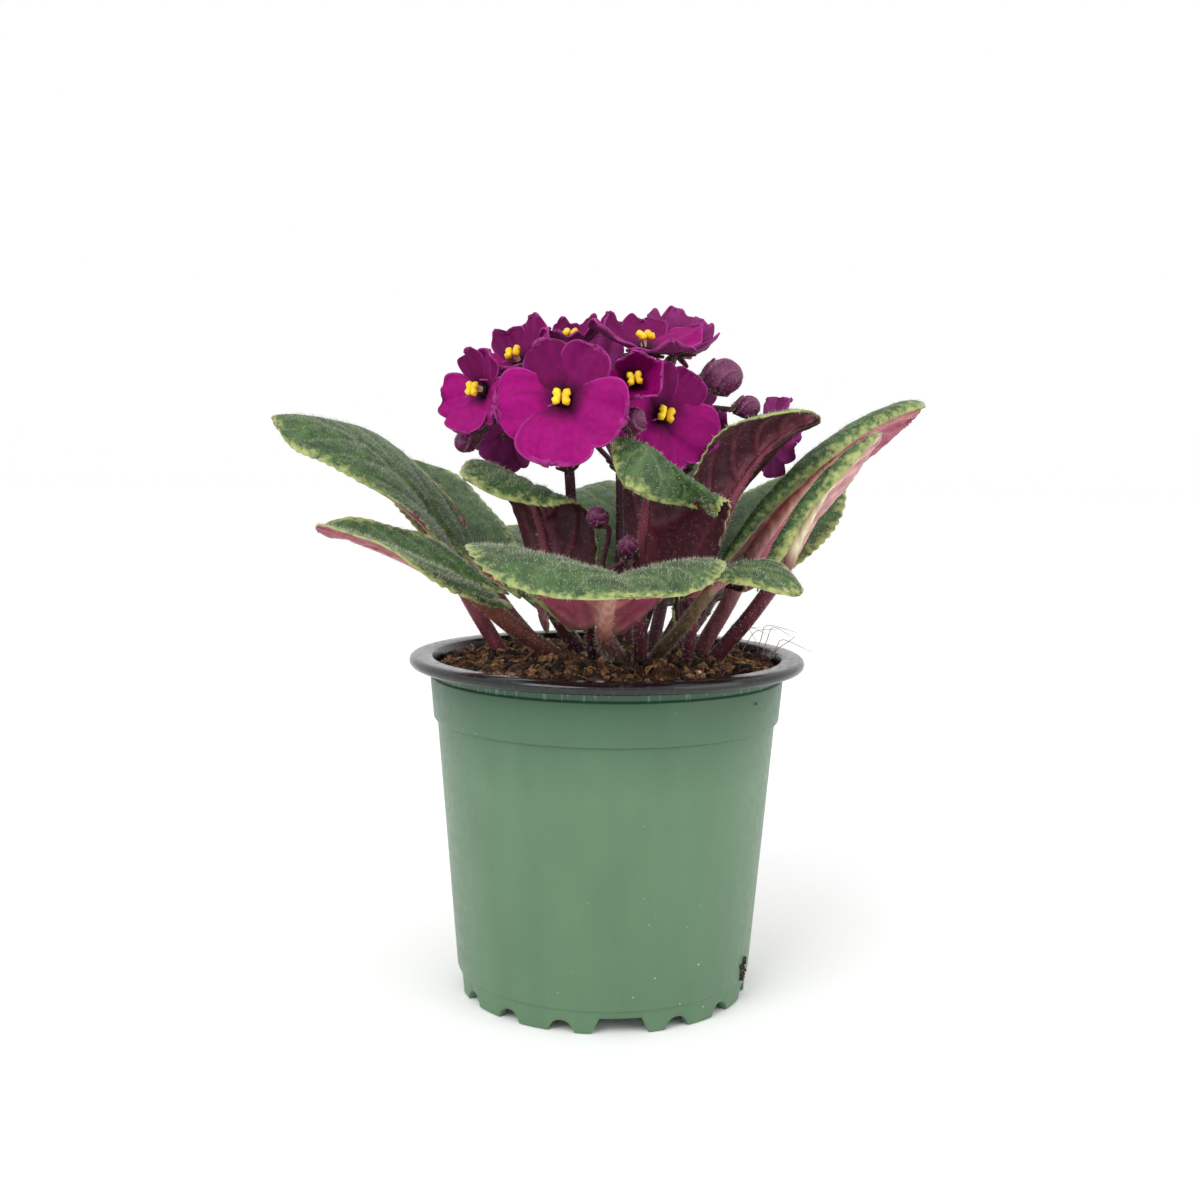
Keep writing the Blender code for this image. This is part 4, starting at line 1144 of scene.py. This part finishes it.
# Each petal: its direction in degrees from the flower's right, its length and half width as parts of
# the radius, how far it lies in front of the others in mm, and how much painted shade darkens it, 0 to 1.
PETALS = (
    (60, 0.90, 0.40, -0.9, 0.75), (113, 0.88, 0.38, -1.3, 0.9),
    (-168, 1.0, 0.55, 0.0, 0.0), (-14, 0.98, 0.54, 0.3, 0.1), (-92, 0.98, 0.60, 0.8, 0.05),
)
PETAL_THICKNESS = 0.5
BROAD_RUFFLE, FINE_RUFFLE = 1.1, 0.5  # mm, the waves across a petal
THROAT_RADIUS = 1.5
THROAT_DEPTH = 2.2
PETAL_CELLS = 26
WIDEST = 0.66  # how far along a petal its widest place is
# the second colour is a shaded copy of the lit one: painted shade on the small petals behind, and the
# streaks' colour
PETAL_COLOURS = [linear(c) for c in ("#9A0070", "#600046", "#260320", "#C04CA4")]  # lit, upper, throat, rim
PETAL_BACK = linear("#8A3C78")


def facing_matrix(flower):
    """Turns +Z to the way the flower faces, with its two small petals uppermost."""
    ahead = Vector(flower["facing"]).normalized()
    up = Vector((0, 0, 1)) - Vector((0, 0, 1)).dot(ahead) * ahead
    up.normalize()
    turn = Matrix((up.cross(ahead), up, ahead)).transposed()
    spin = Matrix.Rotation(math.radians(flower.get("turn", 0)), 3, "Z")
    return Matrix.Translation(Vector(flower["place"])) @ (turn @ spin).to_4x4()


def petal_outline(fraction):
    """Half a petal's width, as a part of its widest, from the throat (0) to its round end (1)."""
    if fraction < WIDEST:
        return 0.34 + 0.66 * math.sin(fraction / WIDEST * math.pi / 2)
    return math.sqrt(max(0.0009, 1 - ((fraction - WIDEST) / (1 - WIDEST)) ** 2.2))


def add_sheet(bm, cells, place, thickness, front, back):
    """A closed curved sheet: a grid whose (fraction, across) points go to place, with two tints."""
    sheet = new_bmesh()
    bmesh.ops.create_grid(sheet, x_segments=cells, y_segments=cells, size=0.5)
    own_tint = sheet.verts.layers.float_color["tint"]
    own_margin = sheet.verts.layers.float["margin"]
    for vert in sheet.verts:
        fraction = 1 - (0.5 - vert.co.x) ** 1.4
        across = vert.co.y * 2
        vert[own_tint] = front(fraction, across)
        vert[own_margin] = max(abs(across), fraction) ** 6
        vert.co = place(fraction, across)
    sheet.normal_update()
    normals = {tuple(vert.co): vert.normal.copy() for vert in sheet.verts}
    grown = bmesh.ops.extrude_face_region(sheet, geom=sheet.faces[:], use_keep_orig=True)["geom"]
    for item in grown:
        if isinstance(item, bmesh.types.BMVert):
            item.co -= normals[tuple(item.co)] * thickness
            item[own_tint] = back
    bmesh.ops.recalc_face_normals(sheet, faces=sheet.faces)
    mesh = bpy.data.meshes.new("sheet")
    sheet.to_mesh(mesh)
    sheet.free()
    bm.from_mesh(mesh)
    bpy.data.meshes.remove(mesh)


def add_petal(bm, flower, petal, turn):
    """One lobe of the corolla, in the bmesh, placed by turn."""
    toward, length, half, front_by, dark = petal
    radius = flower["radius"]
    toward = math.radians(toward + random.normal(0, 3))
    reach = radius * length * (1 + random.normal(0, 0.03))
    tilt, phase = random.normal(0, 0.05), random.random() * 6
    cup = flower["cup"]
    curl = 2.2 * (1.6 * cup - 0.3)  # how far the petal's sides come forward, in mm

    def place(fraction, across):
        ripple = 1 + 0.09 * fraction**4 * noise.noise(Vector((across * 3.5, phase, 0)))
        out = THROAT_RADIUS + (reach * ripple - THROAT_RADIUS) * fraction
        wide = across * petal_outline(fraction)
        aside = wide * half * radius
        forward = cup * radius * fraction**2 - THROAT_DEPTH * (1 - fraction) ** 3
        forward += (front_by + tilt * radius + curl * wide**2) * fraction
        forward += BROAD_RUFFLE * math.sin(3.6 * wide + phase) * fraction**3
        forward += FINE_RUFFLE * math.sin(8 * wide + 2 * phase) * fraction
        inward = 1 - 0.6 * max(0.0, cup - 0.3) * fraction**2
        flat = Vector((out * inward * math.cos(toward) - aside * math.sin(toward),
                       out * inward * math.sin(toward) + aside * math.cos(toward), forward))
        return turn @ flat

    def front(fraction, across):
        lit, upper, throat, rim = PETAL_COLOURS
        # painted shade: each petal goes from the lit colour towards the shaded one by its own darkness
        own = mix(lit, upper, dark)
        own = mix(throat, own, (fraction - 0.03) / 0.3 + 0.1 * across**2)
        streak = noise.noise(Vector((across * 9, fraction * 1.2, phase)))
        own = mix(own, upper, 0.6 * max(0.0, streak))
        return mix(own, rim, max(0.0, max(abs(across), fraction) - 0.93) / 0.07 * 0.6)

    add_sheet(bm, PETAL_CELLS, place, PETAL_THICKNESS, front, mix(PETAL_BACK, PETAL_COLOURS[0], 0.35))


print(len(FLOWERS), "flowers of", len(PETALS), "petals to open")

# %% [markdown]
# ## Pollen sacs, sepals and buds
#
# In the throat two bright yellow pollen sacs stand back to back. Each is a short bent rod, waisted in
# its middle, on a pale filament, with a thin purple style beside them. Behind the flower five narrow
# sepals clasp its tube. A bud is a ball of rolled petals, so its surface is a sphere with five
# spiralling steps, and the same sepals hold it.

# %% Pollen sacs, sepals and buds
POLLEN = linear("#F7D90C")
POLLEN_DEEP = linear("#E3A808")
FILAMENT = linear("#D8C49A")
STYLE = linear("#8A2A78")
SEPAL = linear("#3E1A22")
SEPAL_BACK = linear("#5A2E36")
BUD_FRONT = linear("#6A1850")
BUD_FOLD = linear("#A8588C")
BUD_CREASE_SHADE = linear("#2C0820")
BUDS = {
    "bud_1": dict(place=(30, 1, 168), facing=(0.85, -0.45, 0.15), radius=5.0, length=12.0),
    "bud_2": dict(place=(37, -2, 160), facing=(0.8, -0.5, 0.1), radius=3.1, length=7.0),
    "bud_3": dict(place=(6, -26.5, 155.5), facing=(0.1, -0.8, 0.6), radius=3.0, length=8.0),
    "bud_4": dict(place=(-38.5, -3, 150), facing=(-0.8, -0.1, -0.5), radius=3.0, length=7.0),
    "bud_5": dict(place=(-3, -23, 131), facing=(-0.4, -0.7, 0.5), radius=2.6, length=6.0),
    "bud_6": dict(place=(5, -24, 123.5), facing=(0.1, -0.7, 0.6), radius=2.5, length=6.5),
    "bud_7": dict(place=(-16, 26, 150), facing=(-0.5, 0.6, -0.6), radius=3.0, length=7.5),
}


def add_rod(bm, turn, points, radii, sides, colour):
    """A smooth closed rod through points of the flower's own frame."""
    path = [turn @ point for point in smooth_path(points, 3)]
    spread = np.interp(np.linspace(0, len(radii) - 1, len(path)), range(len(radii)), radii)
    add_tube(bm, path, [float(r) for r in spread], sides, [colour] * len(path))


def add_pollen_sacs(bm, flower, turn):
    size = 0.72 + 0.02 * flower["radius"]
    add_rod(bm, turn, [(0, 0.2, -1.6), (0, 0.4, 0), (0.2, 0.5, 1.3)], [0.8, 0.8, 0.7], 10, FILAMENT)
    add_rod(bm, turn, [(-0.4, -0.6, -1), (-1.8, -1.7, 0.9), (-3.3, -2.6, 1.6)], [0.28, 0.25, 0.2], 8, STYLE)
    for side in (-1, 1):
        bend = [(side * 1.75 * size, 1.9 * size, 1.7), (side * 1.3 * size, 1.2 * size, 1.95),
                (side * 0.95 * size, 0, 2.0), (side * 1.35 * size, -1.1 * size, 1.9),
                (side * 1.8 * size, -1.8 * size, 1.6)]
        waist = [0.25, 1.08, 0.78, 1.1, 0.25]
        add_rod(bm, turn, bend, [r * size for r in waist], 14, mix(POLLEN, POLLEN_DEEP, 0.25 + 0.25 * side))


def add_sepals(bm, turn, base, length, spread, width=0.95):
    """Five narrow pointed sepals round the axis, from base below the flower; spread opens them."""
    for index in range(5):
        angle = 2 * math.pi * (index + 0.5) / 5 + random.normal(0, 0.1)
        droop = random.normal(0, 0.1)

        def place(fraction, across, angle=angle, droop=droop):
            out = 0.9 + length * math.sin(spread + droop) * fraction
            rise = base + length * math.cos(spread + droop) * fraction + 0.5 * across**2
            aside = across * width * math.sin(math.pi * min(0.97, 0.25 + 0.75 * fraction)) ** 0.8
            return turn @ Vector((out * math.cos(angle) - aside * math.sin(angle),
                                  out * math.sin(angle) + aside * math.cos(angle), rise))

        add_sheet(bm, 7, place, 0.35, lambda fraction, across: SEPAL, SEPAL_BACK)


def make_bud(name, bud, seed):
    """A ball of rolled petals with five spiralling folds, and painted shade in the crease under each fold.
    """
    bm = new_bmesh()
    tint = bm.verts.layers.float_color["tint"]
    bmesh.ops.create_uvsphere(bm, u_segments=60, v_segments=40, radius=1)
    for vert in bm.verts:
        angle = math.atan2(vert.co.y, vert.co.x) / (2 * math.pi)
        height = vert.co.z
        turns = (angle * 5 + 0.9 * height + seed * 0.37) % 1
        body = math.sqrt(max(0.0, 1 - height * height))
        ruffle = noise.noise(Vector((angle * 9, height * 2, seed))) * 0.1
        swell = 1 + (0.16 * turns + ruffle) * body
        # painted shade: the low side of each step, under the next fold's edge, darkens towards a near-black
        # plum
        vert[tint] = mix(mix(BUD_FRONT, BUD_CREASE_SHADE, 2.2 * (0.3 - turns)), BUD_FOLD, (turns - 0.8) * 2.6)
        vert.co = (vert.co.x * swell * bud["radius"] * 0.93, vert.co.y * swell * bud["radius"] * 0.93,
                   height * bud["length"] / 2)
    bmesh.ops.transform(bm, matrix=facing_matrix(bud), verts=bm.verts)
    return new_piece("violet_" + name, bm, [bud_finish], [name])


print(len(BUDS), "buds to set")

# %% [markdown]
# ## Petal, pollen and bud finishes
#
# A petal's cells are little domes, which make it velvety: bright where light grazes it and never
# glossy. Sheen does that over a matt magenta. The pollen sacs are smooth and slightly waxy, and the
# buds are downy.

# %% The flowers' materials
def velvet_petal():
    """Velvety petal skin over magenta sap, with fine veins and mottling."""
    made, tree, shader = new_material("velvety magenta petal", {
        "Roughness": 0.6, "Specular IOR Level": 0.12, "Sheen Weight": 0.08, "Sheen Roughness": 0.35,
        "Sheen Tint": linear("#D860B8")})
    own = add_node(tree, "Attribute", attribute_name="tint").outputs["Color"]
    mottled = paint(tree, own, "#A06890", grain(tree, 1.6, 4), 0.35, 0.7, 0.4, "MULTIPLY")
    tree.links.new(mottled, shader.inputs["Base Color"])
    roughen(tree, shader, 0.7, 3, 0.1, 0.7)
    return made


def waxy_pollen():
    """A smooth waxy skin: bright yellow, a little deeper in soft blotches, with a dull gleam."""
    made, tree, shader = new_material("waxy yellow pollen sac", {"Roughness": 0.4})
    own = add_node(tree, "Attribute", attribute_name="tint").outputs["Color"]
    warm = paint(tree, own, "#F0C040", grain(tree, 1.0, 2), 0.4, 0.7, 0.6, "MULTIPLY")
    tree.links.new(warm, shader.inputs["Base Color"])
    roughen(tree, shader, 0.5, 2, 0.08)
    return made


def downy_bud():
    """Rolled petals under fine down: a plum that is darker in blotches, with a pale bloom."""
    made, tree, shader = new_material("downy plum bud", {
        "Roughness": 0.5, "Sheen Weight": 0.08, "Sheen Tint": linear("#D890B8")})
    own = add_node(tree, "Attribute", attribute_name="tint").outputs["Color"]
    deep = paint(tree, own, "#905A80", grain(tree, 1.2, 4), 0.35, 0.7, 0.5, "MULTIPLY")
    tree.links.new(deep, shader.inputs["Base Color"])
    roughen(tree, shader, 0.8, 3, 0.15)
    return made


petal_finish, pollen_finish, bud_finish = velvet_petal(), waxy_pollen(), downy_bud()
print("flower materials ready")

# %% [markdown]
# ## Opening the flowers
#
# Each flower is five petals and a short tube behind them, and its pollen sacs are a piece of their own,
# because they are another material. The buds follow, each with a thin coat of down.

# %% Open the flowers and set the buds
TUBE = [(0, 0, -THROAT_DEPTH - 0.7), (0, 0, -2), (0, 0, -1.2)]  # the run of the tube behind the throat
TUBE_RADII = [0.9, 1.5, 1.9]
BUD_HAIRS, BUD_HAIR_LENGTH = 1.0, 0.6  # per square millimetre, and mm

for number, flower in FLOWERS.items():
    turn = facing_matrix(flower)
    bm = new_bmesh()
    for petal in PETALS:
        add_petal(bm, flower, petal, turn)
    add_rod(bm, turn, TUBE, TUBE_RADII, 16, PETAL_COLOURS[2])
    new_piece("violet_flower_" + number, bm, [petal_finish], ["corolla_" + number])
    bm = new_bmesh()
    add_pollen_sacs(bm, flower, turn)
    new_piece("violet_pollen_" + number, bm, [pollen_finish], ["anthers_" + number])
for seed, (name, bud) in enumerate(BUDS.items()):
    bud_piece = make_bud(name, bud, seed)
    grow_hairs(name + "_hairs", bud_piece, BUD_HAIRS, BUD_HAIR_LENGTH)
print("flowers and buds made")

# %% [markdown]
# ## The flower stalks
#
# A few bare stalks rise from the crown, and each branches at its top into thin pedicels, one to each
# flower or bud. They are dark, hairy and smoothly bent. Every branch starts inside the stalk's own
# end, so the two join without a gap, and five small bracts sit where it branches.

# %% The stalks' own numbers
FLOWER_STALKS = {
    "flower_stalk_1": dict(foot=(-4, 9), hub=(-11, 2, 143), radius=1.6,
                           carries=("01", "02", "05", "10", "bud_4")),
    "flower_stalk_2": dict(foot=(3, -3), hub=(3, -3, 144), radius=1.5, carries=("03", "06", "07", "bud_3")),
    "flower_stalk_3": dict(foot=(8, 8), hub=(19, 6, 142), radius=1.6,
                           carries=("04", "08", "09", "bud_1", "bud_2")),
    "flower_stalk_4": dict(foot=(2, 14), hub=(4, 20, 142), radius=1.5, carries=("11", "12", "bud_7")),
    "flower_stalk_5": dict(foot=(-4, -6), hub=(-2, -16, 116), radius=1.4, carries=("bud_5", "bud_6")),
}
CROWN_PLACE = Vector((1.5, 4.5))
PEDICEL_RADIUS = 0.75
CALYX_LENGTH = 2.4
CALYX_RADII = [0.8, 0.95, 1.15, 1.35, 1.5, 1.6]  # a pedicel widens to these under its flower
STALK_HAIRS, STALK_HAIR_LENGTH = 0.8, 0.8  # per square millimetre, and mm
# a flower stalk darkens from STALK_HIGH to STALK_LOW towards the peat: partly its own colour, partly
# painted shade under the leaves
STALK_LOW, STALK_HIGH, PEDICEL_TINT = linear("#2A0F16"), linear("#4E2030"), linear("#5C2A3A")


def carried_end(carried):
    """Where a pedicel ends, the way it points there, and how its sepals stand (length, spread)."""
    if carried in BUDS:
        bud = BUDS[carried]
        ahead = Vector(bud["facing"]).normalized()
        return Vector(bud["place"]) - ahead * (bud["length"] / 2 + 0.35), ahead, bud["length"] * 0.62, 0.55
    flower = FLOWERS[carried]
    ahead = Vector(flower["facing"]).normalized()
    return Vector(flower["place"]) - ahead * (THROAT_DEPTH + 0.8), ahead, 5.0, 1.5


def make_flower_stalk(name, stalk):
    bm = new_bmesh()
    x, y = stalk["foot"]
    foot = Vector((x, y, flat_soil_height(math.hypot(x, y))))
    hub = Vector(stalk["hub"])
    bow = foot.lerp(hub, 0.5) + Vector((x - CROWN_PLACE.x, y - CROWN_PLACE.y, 0)) * 0.25
    path = smooth_path([foot - Vector((0, 0, STALK_DEPTH)), foot, bow, hub], 7)
    last = len(path) - 1
    add_tube(bm, path, [stalk["radius"] * (1.05 - 0.15 * i / last) for i in range(last + 1)], 14,
             [mix(STALK_LOW, STALK_HIGH, i / last) for i in range(last + 1)])
    for carried in stalk["carries"]:
        end, ahead, sepal_length, spread = carried_end(carried)
        approach = end - ahead * max(CALYX_LENGTH, (end - hub).length * 0.3)
        start = hub - (hub - path[-2]).normalized() * 0.6
        middle, neck = start.lerp(approach, 0.5), end - ahead * CALYX_LENGTH * 0.5
        points = smooth_path([start, middle, approach, neck, end], 6)
        count = len(points)
        radii = [PEDICEL_RADIUS * 1.15] * 3 + [PEDICEL_RADIUS] * (count - 9) + CALYX_RADII
        add_tube(bm, points, radii, 12, [PEDICEL_TINT] * count)
        turn = facing_matrix(dict(place=end, facing=ahead))
        add_sepals(bm, turn, -0.6, sepal_length, spread)
    up = (hub - path[-2]).normalized()
    add_sepals(bm, facing_matrix(dict(place=hub, facing=up)), -0.8, 4.0, 1.0, 0.6)
    return new_piece("violet_" + name, bm, [skin_finish], [name])


for name, stalk in FLOWER_STALKS.items():
    piece = make_flower_stalk(name, stalk)
    hairs = grow_hairs(name + "_hairs", piece, STALK_HAIRS, STALK_HAIR_LENGTH)
    print(name, "has", hairs, "hairs")

# %% [markdown]
# ## The crown, roots and spilt peat
#
# Under the leaves the plant has a short, knobbly stem. A few pale root threads have come loose at the
# pot's right edge, some peat has dried on at the foot, and specks of perlite cling low on the front.

# %% The small things
CROWN_RINGS = 10
ROOT_THREADS = 9
DRIED_CRUMBS = 24  # peat dried on at the foot
DRIED_PLACE = (-22, 9.5)  # direction in degrees, and height in mm
DUST_FLECKS = 7  # perlite dust low on the front
COLLAR_REACH = 48.0  # mm from the axis to the collar's outside


def make_crown():
    low, high = (Vector(corner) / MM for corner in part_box("crown_stem"))
    centre, radius = (low + high) / 2, (high.x - low.x) / 2
    bm = new_bmesh()
    side = [(radius * 0.98 * math.cos(t * 0.15) ** 0.3, low.z + t * (high.z - low.z) / CROWN_RINGS)
            for t in range(CROWN_RINGS)]
    add_profile(bm, [(0, low.z), *side, (0, high.z)], 40)
    tint = bm.verts.layers.float_color["tint"]
    for vert in bm.verts:
        knob = noise.noise(vert.co / 1.6) * 0.35
        vert.co.x, vert.co.y = vert.co.x * (1 + 0.1 * knob), vert.co.y * (1 + 0.1 * knob)
        vert[tint] = mix(STALK_LOW, SEPAL_BACK, 0.5 + knob)
    bmesh.ops.translate(bm, vec=(centre.x, centre.y, 0), verts=bm.verts)
    return new_piece("violet_crown", bm, [skin_finish], ["crown_stem"])


def make_root_threads():
    """Pale threads that rise from the peat and hang over the rim at the right."""
    bm = new_bmesh()
    pale = linear("#B9A88C")
    for _ in range(ROOT_THREADS):
        angle = math.radians(random.uniform(5, 40))
        out = Vector((math.cos(angle), math.sin(angle), 0))
        base = out * 45.5 + Vector((0, 0, SOIL_EDGE + 0.2))
        top = out * random.uniform(48, 52) + Vector((0, 0, random.uniform(95, 99)))
        end = out * random.uniform(53, 58)
        end += Vector((random.normal(), random.normal(), random.uniform(91.5, 97)))
        add_rod(bm, Matrix.Identity(4), [base, base.lerp(top, 0.5) + Vector((0, 0, 0.8)), top, end],
                [0.14, 0.12, 0.1, 0.06], 5, pale)
    return new_piece("root_threads", bm, [crumb_finish])


def stick_on(name, shape, places, sizes, colours):
    """Copies of a small shape on the pot's outside; each place is (direction in degrees, height)."""
    frames, origins = [], []
    for (turn, height), size in zip(places, sizes):
        angle = math.radians(turn)
        reach = COLLAR_REACH
        if height < COLLAR_FOOT:
            climb = (height - BODY_FOOT) / (COLLAR_FOOT - BODY_FOOT)
            reach = BODY_FOOT_RADIUS + (BODY_TOP_RADIUS - BODY_FOOT_RADIUS) * climb
        origins.append((reach * math.cos(angle), reach * math.sin(angle), height))
        frames.append(np.array(Matrix.Rotation(angle, 3, "Z") @ Matrix.Rotation(turn * 7, 3, "X")) * size)
    stamp(name, shape, np.array(frames), np.array(origins), np.array(colours), crumb_finish)


make_crown()
make_root_threads()
dried = [(DRIED_PLACE[0] + random.normal(0, 1.6), DRIED_PLACE[1] + random.normal(0, 1.5))
         for _ in range(DRIED_CRUMBS)]
dried_tints = [CRUMB_TINTS[i % 3] for i in range(DRIED_CRUMBS)]
stick_on("dried_peat", lump(11, 0.8), dried, random.uniform(0.3, 0.8, DRIED_CRUMBS), dried_tints)
stick_on("collar_speck", lump(12, 0.5), [(-37, 84)], [0.5], [CRUMB_TINTS[3]])
dust = [(random.uniform(-82, -48), random.uniform(2, 17)) for _ in range(DUST_FLECKS)]
dust_sizes = random.uniform(0.15, 0.3, DUST_FLECKS)
stick_on("perlite_dust", lump(13, 0.5), dust, dust_sizes, [PERLITE_TINTS[0]] * DUST_FLECKS)
print("crown, roots and spilt peat made")
